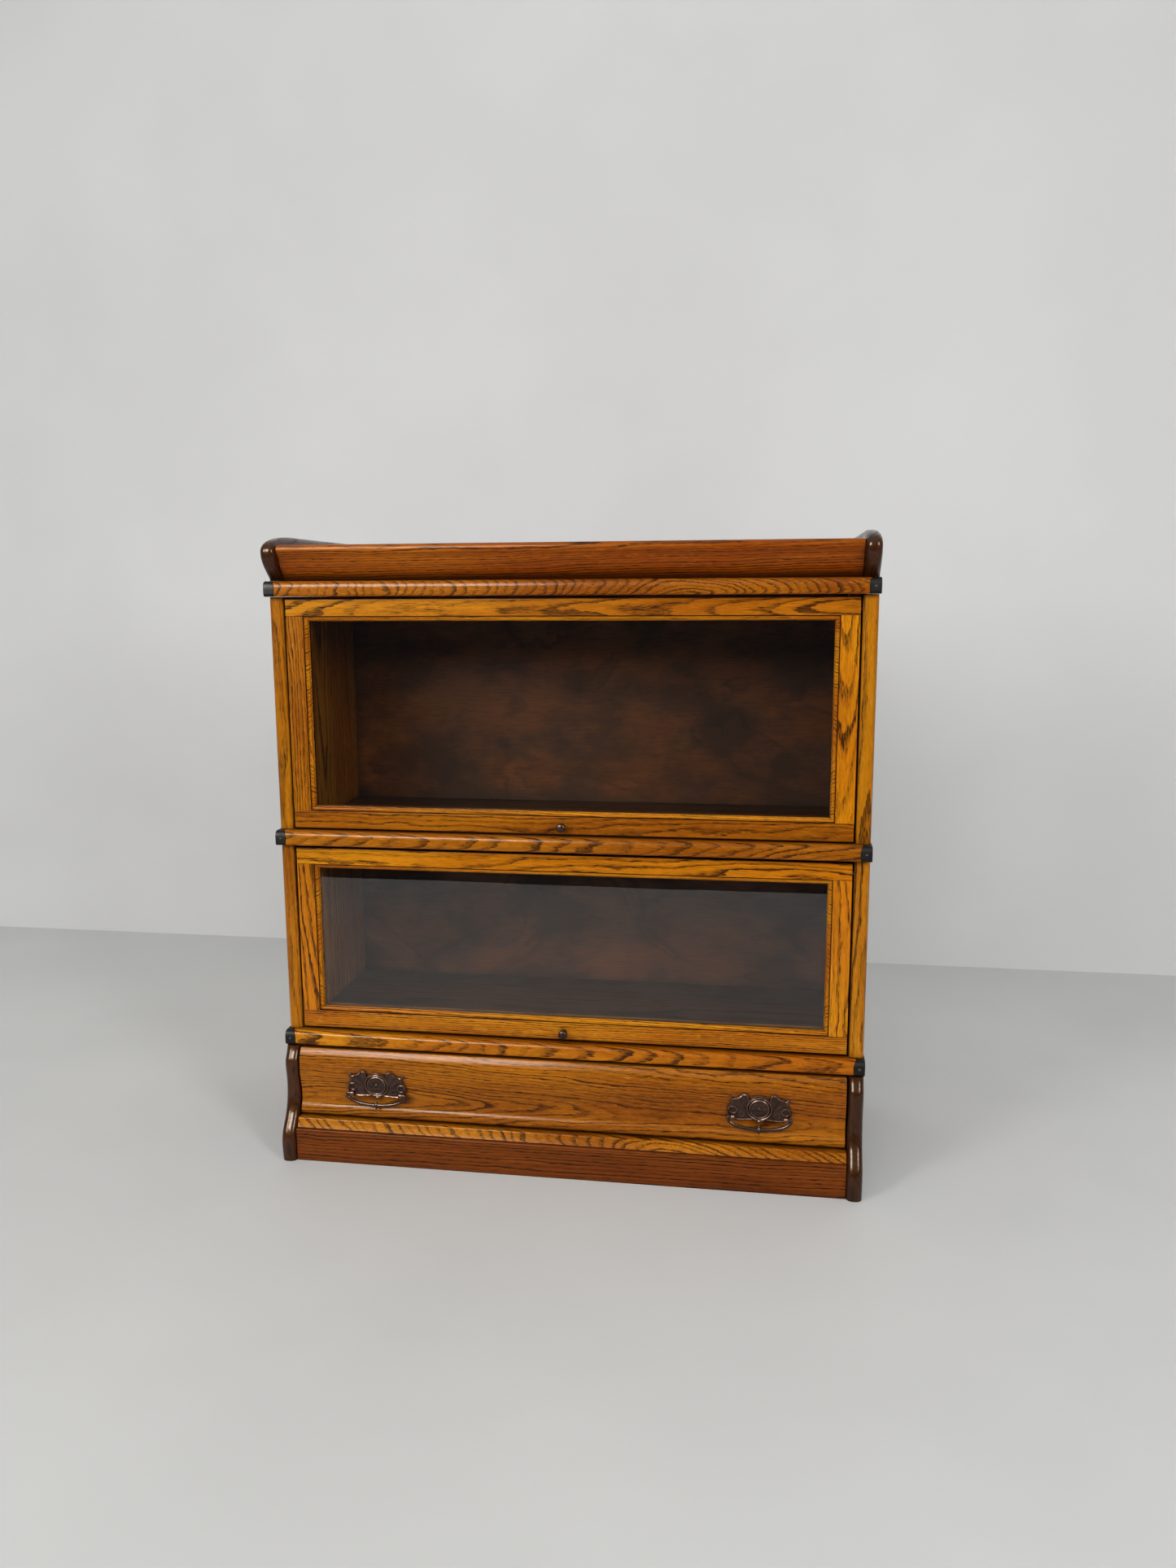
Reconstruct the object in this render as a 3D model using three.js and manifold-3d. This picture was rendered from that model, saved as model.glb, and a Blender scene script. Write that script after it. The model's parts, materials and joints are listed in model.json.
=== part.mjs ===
// A barrister bookcase: two glazed sections stacked on a drawer base, under a cornice.
// Millimetres. X runs left to right, Y from front to back, Z up. The model is drawn with y = 0 at
// the front edges of the section sides, and the whole group is then centred over its footprint.
import * as THREE from 'three';
import { mergeVertices } from 'three/addons/utils/BufferGeometryUtils.js';
import Module from 'manifold-3d';

const wasm = await Module();
wasm.setup();

// Driving dimensions of the case
const WIDTH = 864; // over the outer faces of the sides
const DEPTH = 298; // front edge to back edge of the sides
const BOARD = 22.2; // sides, floors and end blocks
const HEIGHT = 935; // floor to the top of the cornice
const BASE_HEIGHT = 171.4;
const GAP = 0.4; // between boards that rest on each other
const BAND_PROUD = 1; // how far the iron bands stand outside the sides
const BAND_THICKNESS = 2.7;
const SIDE_ROUNDING = 9; // rounded front edges of the sides
const BACK_PANEL = 6; // thickness
const BACK_PANEL_FRONT = 285; // y of its inner face

// Nosing: the rounded front strip of each floor
const NOSING_FRONT = -13.5;
const NOSING_BACK = 30;
const BAND_CAP = 15; // width of the iron cap on each end of a nosing

// Base
const FOOT_FRONT = -52.6;
const PLINTH_FRONT = -44;
const PLINTH_THICKNESS = 20;
const PLINTH_HEIGHT = 50;
const BASE_RAIL_TOP = 64;

// Cornice
const CORNICE_BOARD_TOP = 921.5;
const CORNICE_FRONT_BACK = 34; // y of the back of the cornice front
const CORNICE_TOP_THICKNESS = 16;

// Doors
const DOOR_FRONT = 2; // y of the front face
const DOOR_THICKNESS = 20;
const DOOR_HALF = 407.8;
const TOP_RAIL_WIDTH = 24.6;
const BOTTOM_RAIL_WIDTH = 26;
const FRAME_OPENING_HALF = 382;
const BEAD_WIDTH = 7;
const BEAD_BACK = 10; // y, the glass begins just behind
const GLASS_THICKNESS = 3;
const LIP_FRONT = 13.6; // y of the lip that the glass rests against
const PIVOT_Y = 12;
const PIVOT_BELOW_TOP = 16;
const ARRIS = 2;
const KNOB_X = -3;
const KNOB_ABOVE_BOTTOM = 12;

// Equaliser rod and the round glides on its ends
const ROD_RADIUS = 3;
const GLIDE_RADIUS = 5;
const GLIDE_WIDTH = 6;
const GLIDE_INSET = 1.7; // from the inner face of the side
const GROOVE_HALF = 5.5;
const GROOVE_DEPTH = 9.4;
const ROD_GROOVE_HALF = 4.2;

// Drawer
const DRAWER_HALF = 408;
const DRAWER_BOTTOM = 65;
const DRAWER_TOP = 170;
const DRAWER_FRONT_BACK = 2; // y of the back face of the drawer front
const DRAWER_BACK = 272;
const DRAWER_WALL = 12;
const DRAWER_WALL_TOP = 158;
const DRAWER_PANEL = 6;
const HANDLE_X = 286;
const HANDLE_Z = 120;
const HANDLE_TILT = Math.atan(0.117); // the face of the drawer leans forward there
const BAIL_HALF = 45;
const BAIL_DROP = 17;
const BAIL_WIRE = 2;
const EYE_X = 37.8;
const EYE_DOWN = 12.4; // eyes below the centre of the plate
const EYE_OUT = 8; // eyes in front of the back of the plate

// The two glazed sections: height of the sides, free space under and over the door, and how far
// the raised door pushes back
const LOWER = { height: 288.7, below: 3, above: 5.6, travel: 200 };
const UPPER = { height: 342.3, below: 2.2, above: 3.4, travel: 240 };

const CURVE_STEPS = 6;
const ROUND_STEPS = 16;

const HALF = WIDTH / 2;
const INNER = HALF - BOARD; // inner face of a side
const FITTED = INNER - 0.3; // half length of a board fitted between the sides
const BOTTOM_FLOOR_Z = BASE_HEIGHT + GAP;
const LOWER_SIDE_Z = BOTTOM_FLOOR_Z + BOARD + GAP;
const MIDDLE_FLOOR_Z = LOWER_SIDE_Z + LOWER.height + GAP;
const UPPER_SIDE_Z = MIDDLE_FLOOR_Z + BOARD + GAP;
const TOP_FLOOR_Z = UPPER_SIDE_Z + UPPER.height + GAP;
const CORNICE_Z = TOP_FLOOR_Z + BOARD + GAP;

const finish = (color, roughness, metalness = 0) =>
  new THREE.MeshStandardMaterial({ color, roughness, metalness });

const OAK = finish(0xa8651f, 0.3);
const RED_OAK = finish(0x7d3a14, 0.3);
const DARK_OAK = finish(0x35170c, 0.25);
const INNER_OAK = finish(0x5b351d, 0.5);
const PLYWOOD = finish(0x4a2a18, 0.55);
const IRON = finish(0x1c1d1c, 0.45, 0.8);
const STEEL = finish(0x77767a, 0.35, 0.9);
const BRONZE = finish(0x3a2c25, 0.4, 0.8);
const GLASS = new THREE.MeshStandardMaterial({
  color: 0x9aa5a3,
  roughness: 0.05,
  transparent: true,
  opacity: 0.3,
});

const X_AXIS = new THREE.Vector3(1, 0, 0);
const Y_AXIS = new THREE.Vector3(0, 1, 0);
const Z_AXIS = new THREE.Vector3(0, 0, 1);
const PROFILE_YZ = new THREE.Matrix4().makeBasis(Y_AXIS, Z_AXIS, X_AXIS);
const OUTLINE_XZ = new THREE.Matrix4().makeBasis(X_AXIS, Z_AXIS, Y_AXIS.clone().negate());

const bookcase = new THREE.Group();

function add(name, geometry, material, parent = bookcase) {
  const mesh = new THREE.Mesh(geometry, material.clone());
  mesh.name = name;
  parent.add(mesh);
  return mesh;
}

function box(x, y, z) {
  const geometry = new THREE.BoxGeometry(x[1] - x[0], y[1] - y[0], z[1] - z[0]);
  return geometry.translate((x[0] + x[1]) / 2, (y[0] + y[1]) / 2, (z[0] + z[1]) / 2);
}

// Extrudes a flat shape; the ends are rounded over by round, inside the given length.
function extrude(shape, from, to, round = 0) {
  const geometry = new THREE.ExtrudeGeometry(shape, {
    depth: to - from - 2 * round,
    curveSegments: CURVE_STEPS,
    bevelEnabled: round > 0,
    bevelThickness: round,
    bevelSize: round,
    bevelOffset: -round,
    bevelSegments: 4,
  });
  return geometry.translate(0, 0, from + round);
}

// A profile drawn in (y, z), run along X.
const alongX = (shape, from, to, round) =>
  extrude(shape, from, to, round).applyMatrix4(PROFILE_YZ);

// An outline drawn in (x, z), given thickness along Y.
const alongY = (shape, from, to) => extrude(shape, -to, -from).applyMatrix4(OUTLINE_XZ);

// The interval from a to b in rising order, mirrored to the left when side is -1.
const span = (side, a, b) => (side > 0 ? [a, b] : [-b, -a]);

function solid(geometry) {
  const bare = geometry.clone();
  bare.deleteAttribute('normal');
  bare.deleteAttribute('uv');
  const merged = mergeVertices(bare, 1e-4);
  return new wasm.Manifold(
    new wasm.Mesh({
      numProp: 3,
      vertProperties: new Float32Array(merged.attributes.position.array),
      triVerts: new Uint32Array(merged.index.array),
    }),
  );
}

function geometryOf(manifold) {
  const { vertProperties, triVerts } = manifold.getMesh();
  const geometry = new THREE.BufferGeometry();
  geometry.setAttribute('position', new THREE.BufferAttribute(vertProperties, 3));
  geometry.setIndex(new THREE.BufferAttribute(triVerts, 1));
  geometry.computeVertexNormals();
  return geometry;
}

const joined = (...parts) => geometryOf(parts.map(solid).reduce((a, b) => a.add(b)));
const cut = (body, ...tools) =>
  geometryOf(tools.map(solid).reduce((a, b) => a.subtract(b), solid(body)));
const common = (a, b) => geometryOf(solid(a).intersect(solid(b)));

// ---- Base ----

// Scrolled foot: an ogee that swells over the drawer, tucks in and runs out to the toe.
function baseEndProfile(top, back, bottom) {
  const shape = new THREE.Shape();
  shape.moveTo(back, bottom);
  shape.lineTo(-50, bottom);
  shape.lineTo(-50, 0);
  shape.quadraticCurveTo(FOOT_FRONT, 12, FOOT_FRONT, 28);
  shape.bezierCurveTo(FOOT_FRONT, 50, -37, 60, -31, 75);
  shape.bezierCurveTo(-26, 88, -24, 100, -24.2, 115);
  shape.bezierCurveTo(-24.4, 128, -28.5, 138, -26.5, 149);
  shape.bezierCurveTo(-25, 157, -19.5, 160, -16.4, BASE_HEIGHT);
  shape.lineTo(-14, top);
  shape.lineTo(back, top);
  return shape;
}

function baseEnd(side) {
  const [from, to] = span(side, INNER, HALF);
  const spare = 14;
  const rounded = alongX(baseEndProfile(BASE_HEIGHT + spare, DEPTH + spare, -spare), from, to, 9);
  return common(rounded, box([from - 1, to + 1], [FOOT_FRONT - 1, DEPTH], [0, BASE_HEIGHT]));
}

function plinthProfile() {
  const shape = new THREE.Shape();
  const back = PLINTH_FRONT + PLINTH_THICKNESS;
  shape.moveTo(back, 0);
  shape.lineTo(PLINTH_FRONT, 0);
  shape.lineTo(PLINTH_FRONT, PLINTH_HEIGHT - ARRIS);
  shape.quadraticCurveTo(PLINTH_FRONT, PLINTH_HEIGHT, PLINTH_FRONT + ARRIS, PLINTH_HEIGHT);
  shape.lineTo(back, PLINTH_HEIGHT);
  return shape;
}

function baseRailProfile() {
  const shape = new THREE.Shape();
  const bottom = PLINTH_HEIGHT + GAP;
  shape.moveTo(10, bottom);
  shape.lineTo(-38.5, bottom);
  shape.quadraticCurveTo(-35, 57, -33.5, BASE_RAIL_TOP - ARRIS);
  shape.quadraticCurveTo(-33, BASE_RAIL_TOP, -31, BASE_RAIL_TOP);
  shape.lineTo(10, BASE_RAIL_TOP);
  return shape;
}

function base() {
  add('base_end_left', baseEnd(-1), DARK_OAK);
  add('base_end_right', baseEnd(1), DARK_OAK);
  add('base_plinth', alongX(plinthProfile(), -FITTED, FITTED), RED_OAK);
  add('base_rail', alongX(baseRailProfile(), -FITTED, FITTED), OAK);
  const back = [BACK_PANEL_FRONT, BACK_PANEL_FRONT + BACK_PANEL];
  add('base_back', box([-FITTED, FITTED], back, [20, BASE_HEIGHT - GAP]), PLYWOOD);
  for (const [name, side] of [['left', -1], ['right', 1]]) {
    const width = span(side, 390, FITTED);
    const height = [PLINTH_HEIGHT + GAP, DRAWER_BOTTOM - 0.5];
    const depth = [10.4, BACK_PANEL_FRONT - GAP];
    add(`drawer_runner_${name}`, box(width, depth, height), INNER_OAK);
  }
}

// ---- Floors with their nosings and iron bands ----

function nosingProfile(z, proud = 0) {
  const shape = new THREE.Shape();
  const front = NOSING_FRONT - proud;
  const top = z + BOARD;
  shape.moveTo(NOSING_BACK, z);
  shape.lineTo(front + 5, z);
  shape.quadraticCurveTo(front, z, front, z + 5);
  shape.lineTo(front, z + 12);
  shape.quadraticCurveTo(front, top, front + 9, top);
  shape.lineTo(NOSING_BACK, top);
  return shape;
}

// Front outline of an iron cap: straight outside, bellied towards the nosing.
function capOutline(side, z, grow) {
  const inner = HALF + BAND_PROUD - BAND_CAP - grow;
  const outer = HALF + BAND_PROUD + grow;
  const top = z + BOARD;
  const shape = new THREE.Shape();
  shape.moveTo(side * outer, z - grow);
  shape.lineTo(side * inner, z - grow);
  shape.lineTo(side * (inner - 0.8), z + 10);
  shape.quadraticCurveTo(side * (inner - 1), top - 4, side * (inner + 3.5), top + grow);
  shape.lineTo(side * outer, top + grow);
  return shape;
}

function ironBand(side, z) {
  const outer = HALF + BAND_PROUD;
  const [from, to] = span(side, outer - 2 * BAND_CAP, outer);
  const cap = common(
    alongX(nosingProfile(z, 0.9), from, to),
    alongY(capOutline(side, z, 0), NOSING_FRONT - 5, -GAP / 2),
  );
  const strip = span(side, outer - BAND_THICKNESS, outer);
  return joined(cap, box(strip, [-2, DEPTH], [z, z + BOARD]));
}

function nosing(z) {
  const half = HALF + BAND_PROUD - BAND_THICKNESS - 0.3;
  const caps = [-1, 1].map((side) => alongY(capOutline(side, z, 0.3), NOSING_FRONT - 5, 0.2));
  return cut(alongX(nosingProfile(z), -half, half), ...caps);
}

function floor(level, z) {
  const half = HALF + BAND_PROUD - BAND_THICKNESS - 0.3;
  add(`${level}_nosing`, nosing(z), OAK);
  add(`${level}_floor`, box([-half, half], [NOSING_BACK + 0.3, DEPTH], [z, z + BOARD]), INNER_OAK);
  add(`${level}_band_left`, ironBand(-1, z), IRON);
  add(`${level}_band_right`, ironBand(1, z), IRON);
}

// ---- Glazed sections ----

// Plan of a side: a board with its front edge rounded over.
function sidePlan(side) {
  const inner = side * INNER;
  const outer = side * HALF;
  const round = side * SIDE_ROUNDING;
  const shape = new THREE.Shape();
  shape.moveTo(inner, DEPTH);
  shape.lineTo(inner, SIDE_ROUNDING);
  shape.quadraticCurveTo(inner, 0, inner + round, 0);
  shape.lineTo(outer - round, 0);
  shape.quadraticCurveTo(outer, 0, outer, SIDE_ROUNDING);
  shape.lineTo(outer, DEPTH);
  return shape;
}

// A round-ended slot in (y, z) that the glide travels along.
function grooveProfile(pivotZ, travel) {
  const shape = new THREE.Shape();
  shape.absarc(PIVOT_Y + travel, pivotZ, GROOVE_HALF, -Math.PI / 2, Math.PI / 2, false);
  shape.absarc(PIVOT_Y, pivotZ, GROOVE_HALF, Math.PI / 2, -Math.PI / 2, false);
  return shape;
}

function sectionSide(side, z, height, pivotZ, travel) {
  const board = extrude(sidePlan(side), z, z + height);
  const [from, to] = span(side, INNER - 1, INNER + GROOVE_DEPTH);
  return cut(board, alongX(grooveProfile(pivotZ, travel), from, to));
}

function topRailProfile(top, pivotZ) {
  const bottom = top - TOP_RAIL_WIDTH;
  const back = DOOR_FRONT + DOOR_THICKNESS;
  const shape = new THREE.Shape();
  shape.moveTo(DOOR_FRONT, bottom);
  shape.lineTo(LIP_FRONT, bottom);
  shape.lineTo(LIP_FRONT, bottom - BEAD_WIDTH);
  shape.lineTo(back, bottom - BEAD_WIDTH);
  shape.lineTo(back, pivotZ - ROD_GROOVE_HALF);
  shape.lineTo(PIVOT_Y - ROD_GROOVE_HALF, pivotZ - ROD_GROOVE_HALF);
  shape.lineTo(PIVOT_Y - ROD_GROOVE_HALF, pivotZ + ROD_GROOVE_HALF);
  shape.lineTo(back, pivotZ + ROD_GROOVE_HALF);
  shape.lineTo(back, top - ARRIS);
  shape.quadraticCurveTo(back, top, back - ARRIS, top);
  shape.lineTo(DOOR_FRONT + ARRIS, top);
  shape.quadraticCurveTo(DOOR_FRONT, top, DOOR_FRONT, top - ARRIS);
  return shape;
}

function bottomRailProfile(z) {
  const top = z + BOTTOM_RAIL_WIDTH;
  const back = DOOR_FRONT + DOOR_THICKNESS;
  const shape = new THREE.Shape();
  shape.moveTo(DOOR_FRONT, z + ARRIS);
  shape.quadraticCurveTo(DOOR_FRONT, z, DOOR_FRONT + ARRIS, z);
  shape.lineTo(back, z);
  shape.lineTo(back, top + BEAD_WIDTH);
  shape.lineTo(LIP_FRONT, top + BEAD_WIDTH);
  shape.lineTo(LIP_FRONT, top);
  shape.lineTo(DOOR_FRONT, top);
  return shape;
}

// An upright between the rails: an L in plan, notched at each end around the rail's lip.
function stile(side, low, high) {
  const back = DOOR_FRONT + DOOR_THICKNESS;
  const lip = side * (FRAME_OPENING_HALF - BEAD_WIDTH);
  const plan = new THREE.Shape();
  plan.moveTo(side * FRAME_OPENING_HALF, DOOR_FRONT);
  plan.lineTo(side * DOOR_HALF, DOOR_FRONT);
  plan.lineTo(side * DOOR_HALF, back);
  plan.lineTo(lip, back);
  plan.lineTo(lip, LIP_FRONT);
  plan.lineTo(side * FRAME_OPENING_HALF, LIP_FRONT);
  const width = span(side, FRAME_OPENING_HALF - 2 * BEAD_WIDTH, DOOR_HALF + 1);
  const depth = [LIP_FRONT - 0.3, back + 1];
  return cut(
    extrude(plan, low + 0.3, high - 0.3),
    box(width, depth, [low - 1, low + BEAD_WIDTH + 0.3]),
    box(width, depth, [high - BEAD_WIDTH - 0.3, high + 1]),
  );
}

function rectangle(halfWidth, low, high) {
  const corners = [[-halfWidth, low], [halfWidth, low], [halfWidth, high], [-halfWidth, high]];
  return corners.map(([x, z]) => new THREE.Vector2(x, z));
}

// A mitred ring of glazing bead lining the opening in front of the glass.
function bead(low, high) {
  const shape = new THREE.Shape(rectangle(FRAME_OPENING_HALF - 0.3, low + 0.3, high - 0.3));
  const sight = rectangle(
    FRAME_OPENING_HALF - BEAD_WIDTH,
    low + BEAD_WIDTH,
    high - BEAD_WIDTH,
  );
  shape.holes.push(new THREE.Path(sight));
  return alongY(shape, DOOR_FRONT + 1.5, BEAD_BACK);
}

function knob() {
  const outline = [
    [0, 0],
    [4.5, 0],
    [4.5, 2],
    [2.8, 4],
    [3.2, 7],
    [6, 9],
    [6.6, 11.5],
    [5, 13.6],
    [0, 14.5],
  ];
  const points = outline.map(([radius, out]) => new THREE.Vector2(radius, out));
  return new THREE.LatheGeometry(points, ROUND_STEPS).rotateX(Math.PI);
}

function rod(pivotZ) {
  const half = INNER + GLIDE_INSET + GLIDE_WIDTH + 0.4;
  const geometry = new THREE.CylinderGeometry(ROD_RADIUS, ROD_RADIUS, 2 * half, ROUND_STEPS);
  return geometry.rotateZ(Math.PI / 2).translate(0, PIVOT_Y, pivotZ);
}

function glide(side, pivotZ) {
  const bore = ROD_RADIUS + 0.3;
  const profile = [
    [bore, 0],
    [GLIDE_RADIUS, 0],
    [GLIDE_RADIUS, GLIDE_WIDTH],
    [bore, GLIDE_WIDTH],
    [bore, 0],
  ].map(([radius, along]) => new THREE.Vector2(radius, along));
  const ring = new THREE.LatheGeometry(profile, ROUND_STEPS);
  const [from] = span(side, INNER + GLIDE_INSET, INNER + GLIDE_INSET + GLIDE_WIDTH);
  return ring.rotateZ(-Math.PI / 2).translate(from, PIVOT_Y, pivotZ);
}

function door(section, bottom, top, pivotZ) {
  const low = bottom + BOTTOM_RAIL_WIDTH;
  const high = top - TOP_RAIL_WIDTH;
  const name = (piece) => `${section}_door_${piece}`;
  const topRail = alongX(topRailProfile(top, pivotZ), -DOOR_HALF, DOOR_HALF);
  add(name('top_rail'), topRail, OAK);
  add(name('bottom_rail'), alongX(bottomRailProfile(bottom), -DOOR_HALF, DOOR_HALF), OAK);
  add(name('stile_left'), stile(-1, low, high), OAK);
  add(name('stile_right'), stile(1, low, high), OAK);
  add(name('bead'), bead(low, high), OAK);
  const half = FRAME_OPENING_HALF - 0.5;
  const glassY = [BEAD_BACK + 0.3, BEAD_BACK + 0.3 + GLASS_THICKNESS - 0.1];
  add(name('glass'), box([-half, half], glassY, [low + 0.5, high - 0.5]), GLASS);
  add(name('knob'), knob(), BRONZE).position.set(
    KNOB_X,
    DOOR_FRONT - 0.3,
    bottom + KNOB_ABOVE_BOTTOM,
  );
}

function glazedSection(section, z, { height, below, above, travel }) {
  const bottom = z - GAP + below;
  const top = z + height + GAP - above;
  const pivotZ = top - PIVOT_BELOW_TOP;
  for (const [name, side] of [['left', -1], ['right', 1]]) {
    add(`${section}_side_${name}`, sectionSide(side, z, height, pivotZ, travel), OAK);
    add(`${section}_glide_${name}`, glide(side, pivotZ), STEEL);
  }
  const back = [BACK_PANEL_FRONT, BACK_PANEL_FRONT + BACK_PANEL];
  add(`${section}_back`, box([-FITTED, FITTED], back, [z, z + height]), PLYWOOD);
  add(`${section}_rod`, rod(pivotZ), STEEL);
  door(section, bottom, top, pivotZ);
}

// ---- Drawer ----

function drawerFrontProfile() {
  const shape = new THREE.Shape();
  shape.moveTo(DRAWER_FRONT_BACK, DRAWER_BOTTOM);
  shape.lineTo(-18, DRAWER_BOTTOM);
  shape.bezierCurveTo(-25.5, DRAWER_BOTTOM, -25.5, 76, -21, 82);
  shape.bezierCurveTo(-17.5, 88, -18, 104, -21.5, 117);
  shape.bezierCurveTo(-24.5, 129, -25.5, 150, -22.5, 158);
  shape.quadraticCurveTo(-20, 165, -16, DRAWER_TOP);
  shape.lineTo(DRAWER_FRONT_BACK, DRAWER_TOP);
  return shape;
}

// Stamped back plate of a handle: a round medallion between two winged ends, in (x, z).
function handlePlateShape() {
  const shape = new THREE.Shape();
  const medallion = 20;
  const notch = 0.72; // angle, from level, where the medallion meets the wings
  const wing = (side) => (side > 0 ? notch : Math.PI - notch);
  shape.moveTo(0, -23);
  shape.quadraticCurveTo(6, -21, 9, -18);
  shape.quadraticCurveTo(24, -20, 37, -19);
  shape.quadraticCurveTo(45, -15, 45.5, -6);
  shape.quadraticCurveTo(45, 3, 40, 7);
  shape.quadraticCurveTo(40, 12, 43.5, 14);
  shape.quadraticCurveTo(42, 20, 38, 14.5);
  shape.quadraticCurveTo(30, 15, 24, 22);
  shape.quadraticCurveTo(18, 24.5, 15.5, 19.5);
  shape.lineTo(medallion * Math.cos(wing(1)), medallion * Math.sin(wing(1)));
  shape.absarc(0, 0, medallion, wing(1), wing(-1), false);
  shape.lineTo(-15.5, 19.5);
  shape.quadraticCurveTo(-18, 24.5, -24, 22);
  shape.quadraticCurveTo(-30, 15, -38, 14.5);
  shape.quadraticCurveTo(-42, 20, -43.5, 14);
  shape.quadraticCurveTo(-40, 12, -40, 7);
  shape.quadraticCurveTo(-45, 3, -45.5, -6);
  shape.quadraticCurveTo(-45, -15, -37, -19);
  shape.quadraticCurveTo(-24, -20, -9, -18);
  shape.quadraticCurveTo(-6, -21, 0, -23);
  return shape;
}

// The plate with its raised medallion and the two eyes that carry the bail.
function handlePlate() {
  const plate = alongY(handlePlateShape(), -2, 0);
  const medallion = new THREE.CylinderGeometry(18.5, 15, 3, 2 * ROUND_STEPS);
  medallion.translate(0, -2.5, 0);
  const eyes = [-1, 1].map((side) =>
    new THREE.CylinderGeometry(3.4, 3.4, EYE_OUT + 2, ROUND_STEPS)
      .translate(side * EYE_X, -(EYE_OUT + 2) / 2 - 1, -EYE_DOWN),
  );
  const bore = new THREE.CylinderGeometry(1.7, 1.7, 2 * BAIL_HALF, ROUND_STEPS)
    .rotateZ(Math.PI / 2)
    .translate(0, -EYE_OUT, -EYE_DOWN);
  return cut(joined(plate, medallion, ...eyes), bore);
}

// Hanging wire: a shallow half oval, with a pin at each end that turns in its eye.
function bail() {
  const route = new THREE.CurvePath();
  const at = (x, z) => new THREE.Vector3(x, 0, z);
  route.add(new THREE.CubicBezierCurve3(
    at(-BAIL_HALF, 1.5),
    at(-BAIL_HALF, -9),
    at(-30, -BAIL_DROP),
    at(0, -BAIL_DROP),
  ));
  route.add(new THREE.CubicBezierCurve3(
    at(0, -BAIL_DROP),
    at(30, -BAIL_DROP),
    at(BAIL_HALF, -9),
    at(BAIL_HALF, 1.5),
  ));
  const section = new THREE.Shape().absarc(0, 0, BAIL_WIRE, 0, 2 * Math.PI, false);
  const wire = new THREE.ExtrudeGeometry(section, {
    steps: 24,
    curveSegments: 4,
    extrudePath: route,
  });
  const pins = [-1, 1].map((side) => {
    const inner = EYE_X - 2;
    return new THREE.CylinderGeometry(1.2, 1.2, BAIL_HALF - inner, 8)
      .rotateZ(Math.PI / 2)
      .translate(side * (BAIL_HALF + inner) / 2, 0, 0);
  });
  const bead = new THREE.LatheGeometry(
    [[0, -7], [1.6, -5], [3.4, -1.6], [3.4, 1.6], [1.6, 5], [0, 7]].map(
      ([radius, along]) => new THREE.Vector2(radius, along),
    ),
    12,
  ).rotateX(Math.PI / 2).translate(0, 0, -BAIL_DROP);
  return joined(wire, ...pins, bead);
}

function handle(name, side) {
  const seat = new THREE.Group();
  seat.position.set(side * HANDLE_X, -23.2, HANDLE_Z);
  seat.rotation.x = HANDLE_TILT;
  bookcase.add(seat);
  add(`handle_plate_${name}`, handlePlate(), BRONZE, seat);
  const eye = new THREE.Vector3(0, -EYE_OUT, -EYE_DOWN).applyAxisAngle(X_AXIS, HANDLE_TILT);
  add(`bail_${name}`, bail(), BRONZE).position.copy(eye.add(seat.position));
}

function drawer() {
  add('drawer_front', alongX(drawerFrontProfile(), -DRAWER_HALF, DRAWER_HALF), OAK);
  const outer = DRAWER_HALF - 2;
  const inner = outer - DRAWER_WALL;
  const walls = [DRAWER_BOTTOM + 0.5, DRAWER_WALL_TOP];
  const between = [-inner + 0.3, inner - 0.3];
  for (const [name, side] of [['left', -1], ['right', 1]]) {
    const depth = [DRAWER_FRONT_BACK + 0.3, DRAWER_BACK];
    add(`drawer_side_${name}`, box(span(side, inner, outer), depth, walls), INNER_OAK);
  }
  const backDepth = [DRAWER_BACK - DRAWER_WALL, DRAWER_BACK];
  add('drawer_back', box(between, backDepth, walls), INNER_OAK);
  const panelDepth = [DRAWER_FRONT_BACK + 0.3, DRAWER_BACK - DRAWER_WALL - 0.3];
  const panelHeight = [DRAWER_BOTTOM + 7, DRAWER_BOTTOM + 7 + DRAWER_PANEL];
  add('drawer_bottom', box(between, panelDepth, panelHeight), PLYWOOD);
  handle('left', -1);
  handle('right', 1);
}

// ---- Cornice ----

function corniceEndProfile(bottom, back) {
  const shape = new THREE.Shape();
  shape.moveTo(back, bottom);
  shape.lineTo(10, bottom);
  shape.lineTo(2, CORNICE_Z);
  shape.bezierCurveTo(-7, 881, -26.2, 893, -26.2, 911);
  shape.bezierCurveTo(-26.2, 923, -14, 928, 8, 931.5);
  shape.quadraticCurveTo(28, HEIGHT, 60, HEIGHT);
  shape.lineTo(back, HEIGHT);
  return shape;
}

function corniceEnd(side) {
  const [from, to] = span(side, INNER, HALF);
  const spare = 14;
  const rounded = alongX(corniceEndProfile(CORNICE_Z - spare, DEPTH + spare), from, to, 9);
  return common(rounded, box([from - 1, to + 1], [-40, DEPTH], [CORNICE_Z, HEIGHT]));
}

// Sloping front of the cornice: a shallow cove under a rounded upper edge.
function corniceFrontProfile() {
  const shape = new THREE.Shape();
  shape.moveTo(CORNICE_FRONT_BACK, CORNICE_Z);
  shape.lineTo(9, CORNICE_Z);
  shape.quadraticCurveTo(-3, 885, -11.5, 902);
  shape.bezierCurveTo(-14, 907, -18.5, 909, -18.5, 914.5);
  shape.quadraticCurveTo(-18.5, CORNICE_BOARD_TOP, -11, CORNICE_BOARD_TOP);
  shape.lineTo(CORNICE_FRONT_BACK, CORNICE_BOARD_TOP);
  return shape;
}

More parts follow.
